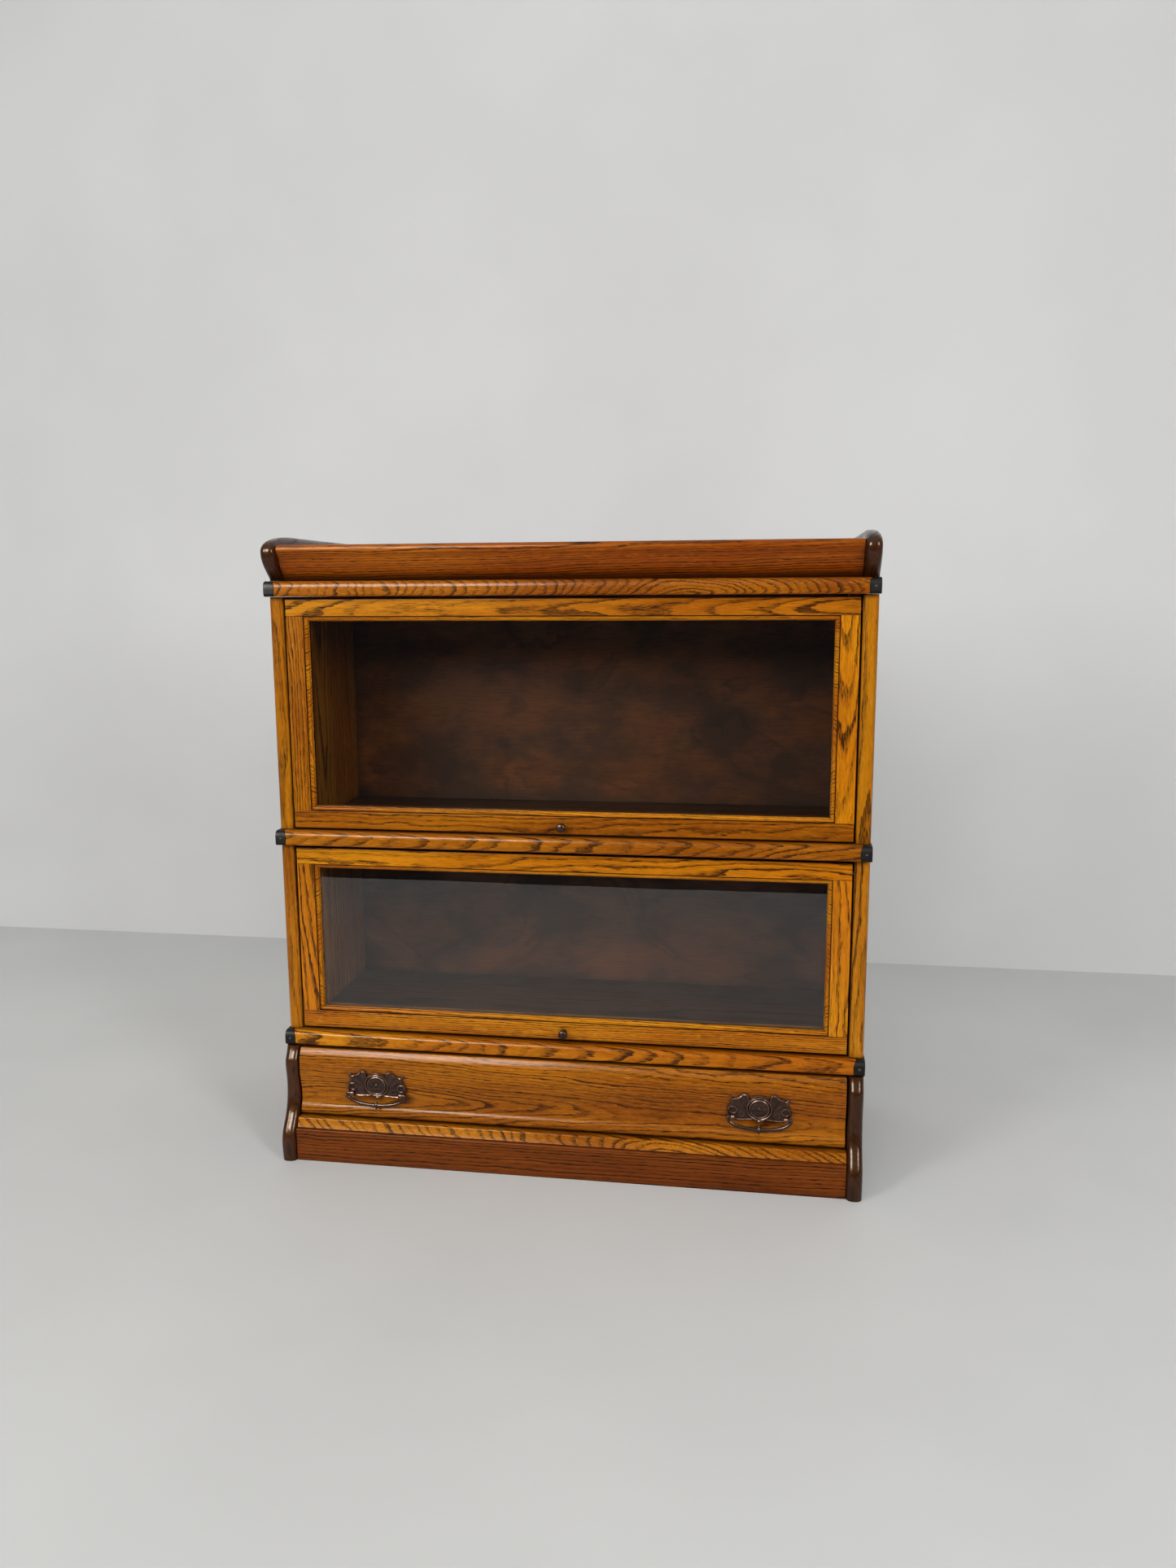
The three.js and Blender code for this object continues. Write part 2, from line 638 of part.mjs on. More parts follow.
function cornice() {
  add('cornice_end_left', corniceEnd(-1), DARK_OAK);
  add('cornice_end_right', corniceEnd(1), DARK_OAK);
  add('cornice_front', alongX(corniceFrontProfile(), -FITTED, FITTED), RED_OAK);
  const underside = CORNICE_BOARD_TOP - CORNICE_TOP_THICKNESS;
  const top = [underside, CORNICE_BOARD_TOP];
  const length = [-FITTED, FITTED];
  add('cornice_top', box(length, [CORNICE_FRONT_BACK + 0.3, DEPTH], top), RED_OAK);
  add('cornice_back', box(length, [DEPTH - BOARD, DEPTH], [CORNICE_Z, underside - GAP]), INNER_OAK);
}

base();
floor('bottom', BOTTOM_FLOOR_Z);
glazedSection('lower', LOWER_SIDE_Z, LOWER);
floor('middle', MIDDLE_FLOOR_Z);
glazedSection('upper', UPPER_SIDE_Z, UPPER);
floor('top', TOP_FLOOR_Z);
cornice();
drawer();
bookcase.position.y = -(FOOT_FRONT + DEPTH) / 2;

export default bookcase;
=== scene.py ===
"""The looks of a barrister bookcase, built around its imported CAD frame.

Blender works in metres: X runs left to right, Y from front to back, Z up. Outlines are drawn in
millimetres, with y = 0 at the front edges of the section sides and z = 0 at the floor.
"""
import json
import math

import bmesh
import bpy
import numpy as np
from mathutils import Euler, Matrix, Vector


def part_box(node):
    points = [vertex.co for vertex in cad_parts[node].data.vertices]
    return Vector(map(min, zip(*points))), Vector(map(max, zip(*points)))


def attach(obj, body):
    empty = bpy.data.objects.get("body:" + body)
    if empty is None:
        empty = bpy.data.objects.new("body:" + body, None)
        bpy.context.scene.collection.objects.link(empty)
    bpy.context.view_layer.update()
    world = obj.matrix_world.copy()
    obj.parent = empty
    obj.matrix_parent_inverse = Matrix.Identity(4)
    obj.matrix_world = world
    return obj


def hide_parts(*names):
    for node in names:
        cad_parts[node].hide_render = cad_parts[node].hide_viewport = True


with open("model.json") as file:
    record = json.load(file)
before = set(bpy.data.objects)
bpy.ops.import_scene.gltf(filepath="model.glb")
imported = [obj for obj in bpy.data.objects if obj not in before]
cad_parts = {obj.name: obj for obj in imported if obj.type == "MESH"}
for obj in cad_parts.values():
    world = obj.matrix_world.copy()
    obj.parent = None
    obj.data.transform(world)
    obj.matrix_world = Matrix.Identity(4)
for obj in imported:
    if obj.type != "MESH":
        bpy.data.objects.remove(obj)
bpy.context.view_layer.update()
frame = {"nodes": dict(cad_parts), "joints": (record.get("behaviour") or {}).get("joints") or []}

MM = 0.001
TIP = 0.02  # the radius that closes a turned piece on its axis, in millimetres
SPARE = 14  # how far the outline of a rounded board runs past its flat cuts, in millimetres
SIDES_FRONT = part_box("lower_side_left")[0].y  # where the outlines have y = 0
SIDES = ("left", "right")
LEVELS = ("bottom", "middle", "top")
SECTIONS = ("lower", "upper")


def mm_box(node):
    """A CAD node's box in the outlines' millimetres: its lowest and highest corner."""
    shift = Vector((0, SIDES_FRONT, 0))
    return tuple((corner - shift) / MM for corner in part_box(node))


def sign(side):
    return -1 if side == "left" else 1


# ---- Outlines ----


class Pen:
    """Draws an outline in two coordinates, with straight lines and curves."""

    def __init__(self, *start):
        self.points = [Vector(start)]

    def line(self, *end):
        self.points.append(Vector(end))
        return self

    def quad(self, cx, cy, ex, ey, steps=8):
        a, c, e = self.points[-1], Vector((cx, cy)), Vector((ex, ey))
        for t in (i / steps for i in range(1, steps + 1)):
            self.points.append(a * (1 - t) ** 2 + c * 2 * t * (1 - t) + e * t * t)
        return self

    def curve(self, ax, ay, bx, by, ex, ey, steps=14):
        s, a, b, e = self.points[-1], Vector((ax, ay)), Vector((bx, by)), Vector((ex, ey))
        for t in (i / steps for i in range(1, steps + 1)):
            u = 1 - t
            self.points.append(s * u**3 + a * 3 * u * u * t + b * 3 * u * t * t + e * t**3)
        return self

    def arc(self, cx, cy, radius, start, end, steps):
        for i in range(steps + 1):
            angle = start + (end - start) * i / steps
            x = cx + radius * math.cos(angle)
            y = cy + radius * math.sin(angle)
            self.points.append(Vector((x, y)))
        return self


# ---- Making pieces ----


def make_object(name, bm):
    """An object from a bmesh drawn in millimetres, smooth-shaded, with its faces pointing out."""
    bmesh.ops.remove_doubles(bm, verts=bm.verts, dist=1e-4)
    bmesh.ops.recalc_face_normals(bm, faces=bm.faces)
    mesh = bpy.data.meshes.new(name)
    bm.to_mesh(mesh)
    bm.free()
    mesh.transform(Matrix.Translation((0, SIDES_FRONT, 0)) @ Matrix.Scale(MM, 4))
    mesh.shade_smooth()
    piece = bpy.data.objects.new(name, mesh)
    bpy.context.scene.collection.objects.link(piece)
    return piece


def ease(piece, width, segments=2, angle=32):
    """Rounds a piece's sharp edges by a width in millimetres and keeps its flats flat."""
    bevel = piece.modifiers.new("eased edges", "BEVEL")
    bevel.width = width * MM
    bevel.segments = segments
    bevel.limit_method = "ANGLE"
    bevel.angle_limit = math.radians(angle)
    bevel.harden_normals = True
    bevel.use_clamp_overlap = True


def place(piece, material, body, slot, *nodes):
    """Gives a piece its material and its body, and hides the CAD nodes that it stands for; slot is not
    used.
    """
    piece.data.materials.append(material)
    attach(piece, body)
    if nodes:
        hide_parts(*nodes)


def keep(node, material, width=0.5, segments=2):
    """Shows a CAD node as it is, with flat faces joined up, eased edges and a real material."""
    piece = frame["nodes"][node]
    piece.data.materials.clear()
    piece.data.materials.append(material)
    piece.data.shade_smooth()
    weld = piece.modifiers.new("weld", "WELD")
    weld.merge_threshold = 1e-5
    flats = piece.modifiers.new("flats", "DECIMATE")
    flats.decimate_type = "DISSOLVE"
    flats.angle_limit = math.radians(1)
    ease(piece, width, segments)
    normals = piece.modifiers.new("normals", "WEIGHTED_NORMAL")
    normals.weight = 100
    normals.keep_sharp = False


def crisp(piece, angle=45):
    """Keeps the sharp corners of a piece that has no eased edges, and returns it."""
    piece.data.set_sharp_from_angle(angle=math.radians(angle))
    return piece


def bridge(bm, loops):
    """Closes a run of vertex loops of equal length into a solid, with a face on each end."""
    for a, b in zip(loops, loops[1:]):
        for i in range(len(a)):
            j = (i + 1) % len(a)
            bm.faces.new((a[i], a[j], b[j], b[i]))
    bm.faces.new(loops[0][::-1])
    bm.faces.new(loops[-1])


def board_across(name, profile, left, right):
    """A board that runs along X, with a closed profile in (y, z)."""
    bm = bmesh.new()
    loops = [[bm.verts.new((x, y, z)) for y, z in profile] for x in (left, right)]
    bridge(bm, loops)
    return make_object(name, bm)


def rounded_board(name, front, corners, left, right, radius, limits):
    """A board on edge across X. Its front follows an outline in (y, z), bottom to top, and the two
    long edges of that front are rounded. The corners close the outline behind, and limits are the
    lowest z, highest z and furthest y, where it is cut flat."""
    steps = 8  # of each rounded edge
    inward = []
    for i, point in enumerate(front):
        along = front[min(i + 1, len(front) - 1)] - front[max(i - 1, 0)]
        along.normalize()
        inward.append((point, Vector((along.y, -along.x))))
    quarter = [math.pi / 2 * i / steps for i in range(steps + 1)]
    stations = [(left + radius * (1 - math.cos(a)), radius * (1 - math.sin(a))) for a in quarter]
    stations += [(left + right - x, inset) for x, inset in reversed(stations)]
    bm = bmesh.new()
    loops = []
    for x, inset in stations:
        outline = [point + normal * inset for point, normal in inward] + corners
        loops.append([bm.verts.new((x, y, z)) for y, z in outline])
    bridge(bm, loops)
    low, high, back = limits
    cuts = (
        ((0, 0, low), (0, 0, -1)),
        ((0, 0, high), (0, 0, 1)),
        ((0, back, 0), (0, 1, 0)),
    )
    for point, normal in cuts:
        geometry = bm.verts[:] + bm.edges[:] + bm.faces[:]
        cut = bmesh.ops.bisect_plane(
            bm, geom=geometry, plane_co=point, plane_no=normal, clear_outer=True
        )
        edges = [e for e in cut["geom_cut"] if isinstance(e, bmesh.types.BMEdge)]
        bmesh.ops.edgeloop_fill(bm, edges=[e for e in edges if e.is_boundary])
    return make_object(name, bm)


def turned(name, profile, centre, axis="Y", steps=40):
    """A turned piece: a profile of (radius, distance out), turned about an axis. On Y it comes
    forward from its centre, and on X it runs to the right."""
    bm = bmesh.new()
    rings = []
    for radius, out in profile:
        ring = []
        for i in range(steps):
            a = 2 * math.pi * i / steps
            u, v = radius * math.cos(a), radius * math.sin(a)
            offset = (u, -out, v) if axis == "Y" else (out, u, v)
            ring.append(bm.verts.new(Vector(centre) + Vector(offset)))
        rings.append(ring)
    bridge(bm, rings)
    return make_object(name, bm)


def sweep_into(bm, route, radii, steps=12):
    """Adds a closed round wire to bm that follows a route, with a radius at each point."""
    loops = []
    side = Vector((0, 1, 0))
    for i, point in enumerate(route):
        along = (route[min(i + 1, len(route) - 1)] - route[max(i - 1, 0)]).normalized()
        first = along.cross(side).normalized()
        second = along.cross(first)
        loop = []
        for k in range(steps):
            a = 2 * math.pi * k / steps
            offset = first * math.cos(a) + second * math.sin(a)
            loop.append(bm.verts.new(point + offset * radii[i]))
        loops.append(loop)
    bridge(bm, loops)


def combine(piece, tool, operation):
    """Joins or cuts a piece by another closed one, which is then removed."""
    change = piece.modifiers.new("combine", "BOOLEAN")
    change.operation = operation
    change.solver = "EXACT"
    change.object = tool
    bpy.context.view_layer.update()
    graph = bpy.context.evaluated_depsgraph_get()
    mesh = bpy.data.meshes.new_from_object(piece.evaluated_get(graph))
    piece.modifiers.clear()
    piece.data = mesh
    piece.data.shade_smooth()
    bpy.data.objects.remove(tool)
    return piece


# ---- Building materials ----


class Tree:
    """Shorthand for putting nodes into a tree."""

    def __init__(self, tree):
        self.tree = tree

    def node(self, kind, values=None, **settings):
        made = self.tree.nodes.new("ShaderNode" + kind)
        for key, value in settings.items():
            setattr(made, key, value)
        for key, value in (values or {}).items():
            self.feed(made.inputs[key], value)
        return made

    def feed(self, socket, value):
        if isinstance(value, bpy.types.NodeSocket):
            self.tree.links.new(value, socket)
        else:
            socket.default_value = value

    def math(self, operation, a, b=0.0, clamp=False):
        return self.node("Math", {0: a, 1: b}, operation=operation, use_clamp=clamp).outputs[0]

    def stretch(self, vector, x, y, z):
        return self.node("VectorMath", {0: vector, 1: (x, y, z)}, operation="MULTIPLY").outputs[0]

    def noise(self, vector, detail=2.0, roughness=0.5, scale=1.0):
        values = {"Vector": vector, "Scale": scale, "Detail": detail, "Roughness": roughness}
        return self.node("TexNoise", values).outputs[0]

    def noise_of(self, number):
        """Noise along a single number, such as how far a point lies from the pith."""
        values = {"W": number, "Scale": 1.0, "Detail": 1.0}
        return self.node("TexNoise", values, noise_dimensions="1D").outputs[0]

    def rise(self, value, low, high, to_low=0.0, to_high=1.0):
        """A smooth step from to_low to to_high, as the value goes from low to high."""
        values = {0: value, 1: low, 2: high, 3: to_low, 4: to_high}
        return self.node("MapRange", values, interpolation_type="SMOOTHSTEP").outputs[0]

    def mix(self, factor, a, b, blend="MIX"):
        values = {0: factor, 6: a, 7: b}
        return self.node("Mix", values, data_type="RGBA", blend_type=blend).outputs[2]

    def crevices(self, distance):
        """How far each point is shut in by what stands round it, from 0 in the open to 1."""
        shade = self.node("AmbientOcclusion", {"Distance": distance}, samples=6)
        return self.math("SUBTRACT", 1.0, shade.outputs["AO"])

    def edges(self, distance):
        """How near each point is to an outer edge, from 0 on a flat to 1."""
        shade = self.node("AmbientOcclusion", {"Distance": distance}, samples=4, inside=True)
        return self.rise(self.math("SUBTRACT", 1.0, shade.outputs["AO"]), 0.5, 0.85)


def rgb(red, green, blue):
    """A linear colour from the 0 to 255 values that a screen shows."""
    values = [value / 255 for value in (red, green, blue)]
    linear = [v / 12.92 if v <= 0.04045 else ((v + 0.055) / 1.055) ** 2.4 for v in values]
    return (*linear, 1.0)


def new_material(name):
    """A material with its Tree and its Principled shader."""
    material = bpy.data.materials.new(name)
    material.use_nodes = True
    nodes = material.node_tree.nodes
    return material, Tree(material.node_tree), nodes["Principled BSDF"]


def set_gloss(shader, metallic=0.0, coat=0.0, coat_roughness=0.1, specular=0.5):
    """Gloss that is the same all over a surface, on the shader's own sockets."""
    shader.inputs["Metallic"].default_value = metallic
    shader.inputs["Coat Weight"].default_value = coat
    shader.inputs["Coat Roughness"].default_value = coat_roughness
    shader.inputs["Specular IOR Level"].default_value = specular


# ---- Oak ----


# How the growth rings wander, in metres
WAVE_REACH = 0.009
RAGGED_REACH = 0.0013
UNEVEN_RINGS = 1.6  # in ring spacings


def make_oak_figure():
    """Node group: the figure of stained oak, cut from a log whose pith runs along X at Y = Z = 0.

    Growth rings are cylinders round the pith, bent by slow noise, so a flat face shows cathedral
    arches, a curved one shows chevrons and an end shows arcs. Each ring opens with a dark, porous
    line. Rays run out from the pith and show as flecks."""
    group = bpy.data.node_groups.new("oak_figure", "ShaderNodeTree")
    for name, kind in (
        ("Vector", "NodeSocketVector"),
        ("Spacing", "NodeSocketFloat"),
        ("Wander", "NodeSocketFloat"),
        ("Late", "NodeSocketColor"),
        ("Mid", "NodeSocketColor"),
        ("Early", "NodeSocketColor"),
        ("Fleck", "NodeSocketColor"),
    ):
        group.interface.new_socket(name, in_out="INPUT", socket_type=kind)
    for name, kind in (
        ("Color", "NodeSocketColor"),
        ("Height", "NodeSocketFloat"),
        ("Dark", "NodeSocketFloat"),
    ):
        group.interface.new_socket(name, in_out="OUTPUT", socket_type=kind)
    t = Tree(group)
    given = t.tree.nodes.new("NodeGroupInput").outputs
    point = given["Vector"]
    x, y, z = t.node("SeparateXYZ", {0: point}).outputs

    square = t.math("ADD", t.math("MULTIPLY", y, y), t.math("MULTIPLY", z, z))
    radius = t.math("SQRT", square)
    slow = t.math("SUBTRACT", t.noise(t.stretch(point, 2.0, 4.0, 4.0), 1.0), 0.5)
    waves = t.math("SUBTRACT", t.noise(t.stretch(point, 8.0, 38.0, 38.0), 2.0), 0.5)
    ragged = t.math("SUBTRACT", t.noise(t.stretch(point, 90.0, 620.0, 620.0), 1.0), 0.5)
    bent = t.math("ADD", radius, t.math("MULTIPLY", slow, given["Wander"]))
    bent = t.math("ADD", bent, t.math("MULTIPLY", waves, WAVE_REACH))
    bent = t.math("ADD", bent, t.math("MULTIPLY", ragged, RAGGED_REACH))
    uneven = t.math("MULTIPLY", t.noise_of(t.math("MULTIPLY", radius, 55.0)), UNEVEN_RINGS)
    rings = t.math("ADD", t.math("DIVIDE", bent, given["Spacing"]), uneven)
    through = t.math("FRACT", rings)
    year = t.math("FLOOR", rings)
    chance = t.node("TexWhiteNoise", {"W": year}, noise_dimensions="1D").outputs[0]

    starts = t.rise(through, 0.0, 0.06)
    fades = t.rise(through, 0.12, 0.55, 1.0, 0.0)
    spell = t.rise(t.noise_of(t.math("MULTIPLY", year, 0.31)), 0.35, 0.6, 0.6, 1.0)
    strength = t.math("MULTIPLY", t.rise(chance, 0.1, 0.9, 0.45, 1.0), spell)
    opening = t.math("MULTIPLY", t.math("MULTIPLY", starts, fades), strength)
    pores = t.rise(t.noise(t.stretch(point, 60.0, 900.0, 900.0), 1.0), 0.5, 0.64)
    porous = t.math("MULTIPLY", pores, t.math("ADD", t.math("MULTIPLY", opening, 0.8), 0.26))
    dark = t.math("ADD", t.math("MULTIPLY", opening, 0.95), porous, clamp=True)

    turn = t.math("ARCTAN2", z, y)
    round_pith = t.node("CombineXYZ", {0: x, 1: turn, 2: radius}).outputs[0]
    flecks = t.rise(t.noise(t.stretch(round_pith, 75.0, 62.0, 90.0), 1.0), 0.6, 0.7)
    streaks = t.noise(t.stretch(point, 5.0, 240.0, 240.0), 3.0, 0.6)
    clouds = t.rise(t.noise(t.stretch(point, 2.2, 13.0, 13.0), 2.0), 0.32, 0.68)

    colour = t.mix(clouds, given["Late"], given["Mid"])
    colour = t.mix(t.math("MULTIPLY", flecks, 0.3), colour, given["Fleck"])
    shade = t.rise(streaks, 0.25, 0.75, 0.78, 1.16)
    grey = t.node("CombineXYZ", {0: shade, 1: shade, 2: shade}).outputs[0]
    colour = t.mix(1.0, colour, grey, "MULTIPLY")
    colour = t.mix(dark, colour, given["Early"])
    height = t.math("SUBTRACT", t.math("MULTIPLY", streaks, 0.3), t.math("MULTIPLY", dark, 0.8))

    result = t.tree.nodes.new("NodeGroupOutput")
    for name, value in (("Color", colour), ("Height", height), ("Dark", dark)):
        t.feed(result.inputs[name], value)
    return group


OAK_FIGURE = make_oak_figure()
# The colour of the painted shade in corners, creases and where parts meet
PAINTED_SHADE = rgb(28, 13, 6)
SHEEN = rgb(255, 190, 100)  # the warm cast of what stained wood mirrors

# The finishes of the case: the lighter and the deeper wood between the rings (late, mid), the dark
# line that opens a ring (early), the ray flecks, how rough the wood is, how much shellac lies on it
# (coat) and how rough that is (film), and, last, how strongly painted shade darkens the corners
FINISHES = {
    "golden": dict(
        late=rgb(200, 126, 14), mid=rgb(166, 88, 6), early=rgb(54, 19, 3), fleck=rgb(212, 146, 38),
        roughness=0.4, coat=0.2, film=0.17, corner_shade=0.9,
    ),
    "red": dict(
        late=rgb(172, 92, 12), mid=rgb(140, 62, 5), early=rgb(54, 19, 4), fleck=rgb(184, 104, 24),
        roughness=0.38, coat=0.13, film=0.15, corner_shade=0.9,
    ),
    "plinth": dict(
        late=rgb(116, 54, 12), mid=rgb(92, 36, 7), early=rgb(24, 8, 4), fleck=rgb(126, 68, 22),
        roughness=0.44, coat=0.12, film=0.2, corner_shade=0.9,
    ),
    "dark": dict(
        late=rgb(68, 33, 15), mid=rgb(48, 22, 10), early=rgb(24, 12, 7), fleck=rgb(80, 42, 22),
        roughness=0.3, coat=0.35, film=0.1, corner_shade=0.6,
    ),
    "inside": dict(
        late=rgb(94, 54, 30), mid=rgb(73, 41, 22), early=rgb(46, 25, 14), fleck=rgb(112, 70, 40),
        roughness=0.55, coat=0.08, film=0.25, corner_shade=0.8,
    ),
}
FINISHES["light"] = dict(FINISHES["golden"], late=rgb(220, 144, 14), mid=rgb(188, 108, 6))
FINISHES["amber"] = dict(FINISHES["golden"], late=rgb(174, 103, 11), mid=rgb(143, 74, 5))
FINISHES["side"] = dict(FINISHES["golden"], late=rgb(184, 115, 12), mid=rgb(152, 82, 5))
FINISHES["top"] = dict(FINISHES["golden"], late=rgb(162, 90, 11), mid=rgb(134, 64, 5))
FINISHES["drawer"] = dict(FINISHES["golden"], late=rgb(164, 95, 11), mid=rgb(134, 67, 5))

BOARD_TURNS = {"X": (0.0, 0.0, 0.0), "Y": (0.0, 0.0, -math.pi / 2), "Z": (0.0, math.pi / 2, 0.0)}


def oak(node, finish, grain, pith, tilt, spacing=5.2, wander=24.0):
    """Stained oak for one board. Its grain runs along an axis of the frame. pith says where the
    middle of the board lies from a point on the pith, in millimetres: along the grain, then across
    it in depth and in width. tilt is how far the pith leans from the grain, in degrees. spacing
    is the width of a growth ring and wander is how far slow bends shift the rings, in millimetres."""
    look = FINISHES[finish]
    low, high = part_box(node)
    centre = low * 0.5 + high * 0.5
    lean = Euler([0.0, math.radians(tilt[0]), math.radians(tilt[1])]).to_matrix()
    rotation = lean @ Euler(BOARD_TURNS[grain]).to_matrix()
    material, t, shader = new_material(f"oak_{node}")
    coordinates = t.node("TexCoord").outputs["Object"]
    # A Mapping node turns a point and then moves it, so the board's centre lands at the pith's offset
    mapping = {
        "Vector": coordinates,
        "Location": Vector(pith) * MM - rotation @ centre,
        "Rotation": rotation.to_euler(),
    }
    board = t.node("Mapping", mapping).outputs[0]
    figure = t.tree.nodes.new("ShaderNodeGroup")
    figure.node_tree = OAK_FIGURE
    for key, value in (
        ("Vector", board),
        ("Spacing", spacing * MM),
        ("Wander", wander * MM),
        ("Late", look["late"]),
        ("Mid", look["mid"]),
        ("Early", look["early"]),
        ("Fleck", look["fleck"]),
    ):
        t.feed(figure.inputs[key], value)
    # Painted shade: the wood darkens in corners, creases and where it meets other parts
    shut_in = t.math("MULTIPLY", t.rise(t.crevices(0.016), 0.15, 0.8), look["corner_shade"])
    colour = t.mix(shut_in, figure.outputs["Color"], PAINTED_SHADE)
    t.feed(shader.inputs["Base Color"], colour)
    smears = t.noise(t.stretch(coordinates, 14.0, 14.0, 9.0), 3.0, 0.6)
    flat = look["roughness"]
    polish = t.rise(smears, 0.3, 0.7, flat - 0.06, flat + 0.08)
    in_pores = t.math("MULTIPLY", figure.outputs["Dark"], 0.14)
    t.feed(shader.inputs["Roughness"], t.math("ADD", polish, in_pores))
    relief = {"Height": figure.outputs["Height"], "Strength": 0.55, "Distance": 0.0003}
    bump = t.node("Bump", relief)
    t.feed(shader.inputs["Normal"], bump.outputs[0])
    film = t.node("Bump", {"Height": smears, "Strength": 0.25, "Distance": 0.0006})
    t.feed(shader.inputs["Coat Normal"], film.outputs[0])
    set_gloss(shader, coat=look["coat"], coat_roughness=look["film"], specular=0.2)
    shader.inputs["Specular Tint"].default_value = SHEEN
    return material


def make_veneer(name, centre_tone, cloud_tone, line_tone):
    """Burr veneer: soft dark clouds, a few thin wandering outlines and a fine level grain."""
    material, t, shader = new_material(name)
    coordinates = t.node("TexCoord").outputs["Object"]
    wide = t.stretch(coordinates, 1.0, 1.0, 1.3)
    bent = {"Vector": wide, "Scale": 3.4, "Detail": 3.0, "Distortion": 0.9}
    swirl = t.node("TexNoise", bent).outputs[0]
    contours = t.math("FRACT", t.math("MULTIPLY", swirl, 5.0))
    starts = t.rise(contours, 0.0, 0.05)
    fades = t.rise(contours, 0.05, 0.3, 1.0, 0.0)
    lines = t.math("MULTIPLY", starts, fades)
    soft = t.noise(t.stretch(coordinates, 1.0, 1.0, 1.6), 6.0, 0.6, scale=7.0)
    clouds = t.rise(soft, 0.36, 0.64)
    fibres = t.noise(t.stretch(coordinates, 40.0, 700.0, 700.0), 3.0, 0.6)
    colour = t.mix(clouds, centre_tone, cloud_tone)
    colour = t.mix(t.math("MULTIPLY", lines, 0.35), colour, line_tone)
    colour = t.mix(t.rise(fibres, 0.4, 0.75, 0.0, 0.45), colour, line_tone)
    # Painted shade: the veneer darkens in corners and where it meets other parts
    shut_in = t.math("MULTIPLY", t.rise(t.crevices(0.03), 0.1, 0.8), 0.75)
    colour = t.mix(shut_in, colour, PAINTED_SHADE)
    t.feed(shader.inputs["Base Color"], colour)
    t.feed(shader.inputs["Roughness"], t.rise(clouds, 0.0, 1.0, 0.42, 0.55))
    bump = t.node("Bump", {"Height": fibres, "Strength": 0.2, "Distance": 0.0002})
    t.feed(shader.inputs["Normal"], bump.outputs[0])
    set_gloss(shader, coat=0.1, coat_roughness=0.3, specular=0.2)
    return material


def make_metal(name, base, worn, dirt, roughness, dirt_size, metallic, coat=0.0, curved=False):
    """Old metal: dark in its hollows, rubbed bright on its edges and high points, and mottled.
    dirt_size is how wide a hollow dirt fills, in metres. A finely modelled piece is curved: its own
    curvature says where it is worn and where dirty."""
    material, t, shader = new_material(name)
    coordinates = t.node("TexCoord").outputs["Object"]
    mottle = t.noise(coordinates, 3.0, 0.6, scale=90.0)
    pits = t.noise(coordinates, 2.0, 0.5, scale=900.0)
    colour = t.mix(t.rise(mottle, 0.35, 0.75, 0.0, 0.7), base, dirt)
    if curved:
        bend = t.node("NewGeometry").outputs["Pointiness"]
        rubbed = t.rise(bend, 0.512, 0.58)
        hollow = t.rise(bend, 0.44, 0.497, 1.0, 0.0)
    else:
        rubbed = t.math("MULTIPLY", t.edges(0.0012), t.rise(mottle, 0.3, 0.6, 0.35, 1.0))
        hollow = 0.0
    colour = t.mix(rubbed, colour, worn)
    shut_in = t.math("MAXIMUM", t.rise(t.crevices(dirt_size), 0.3, 0.9, 0.0, 0.85), hollow)
    colour = t.mix(shut_in, colour, dirt)
    t.feed(shader.inputs["Base Color"], colour)
    t.feed(shader.inputs["Roughness"], t.rise(mottle, 0.3, 0.7, roughness - 0.06, roughness + 0.1))
    bump = t.node("Bump", {"Height": pits, "Strength": 0.15, "Distance": 0.0002})
    t.feed(shader.inputs["Normal"], bump.outputs[0])
    set_gloss(shader, metallic=metallic, coat=coat, coat_roughness=0.25)
    return material


def make_glass():
    """Clear old sheet glass: what is behind shows through, and it mirrors more at a slant. Only the
    face that a ray meets from outside mirrors, and it does so for both faces. A high index with a
    dim mirror looks like glass and is less grainy than a low index with a bright mirror."""
    material, t, shader = new_material("pane_glass")
    t.tree.nodes.remove(shader)
    coordinates = t.node("TexCoord").outputs["Object"]
    ripple = t.noise(t.stretch(coordinates, 3.0, 3.0, 9.0), 1.0)
    bump = t.node("Bump", {"Height": ripple, "Strength": 0.12, "Distance": 0.002})
    dim = {"Color": (0.48, 0.48, 0.48, 1), "Roughness": 0.012, "Normal": bump.outputs[0]}
    mirror = t.node("BsdfGlossy", dim)
    clear = t.node("BsdfTransparent", {"Color": (0.88, 0.9, 0.88, 1)})
    outside = t.math("SUBTRACT", 1.0, t.node("NewGeometry").outputs["Backfacing"])
    amount = t.math("MULTIPLY", t.node("Fresnel", {"IOR": 2.0}).outputs[0], outside)
    mixed = t.node("MixShader", {0: amount, 1: clear.outputs[0], 2: mirror.outputs[0]})
    t.tree.links.new(mixed.outputs[0], t.tree.nodes["Material Output"].inputs[0])
    return material


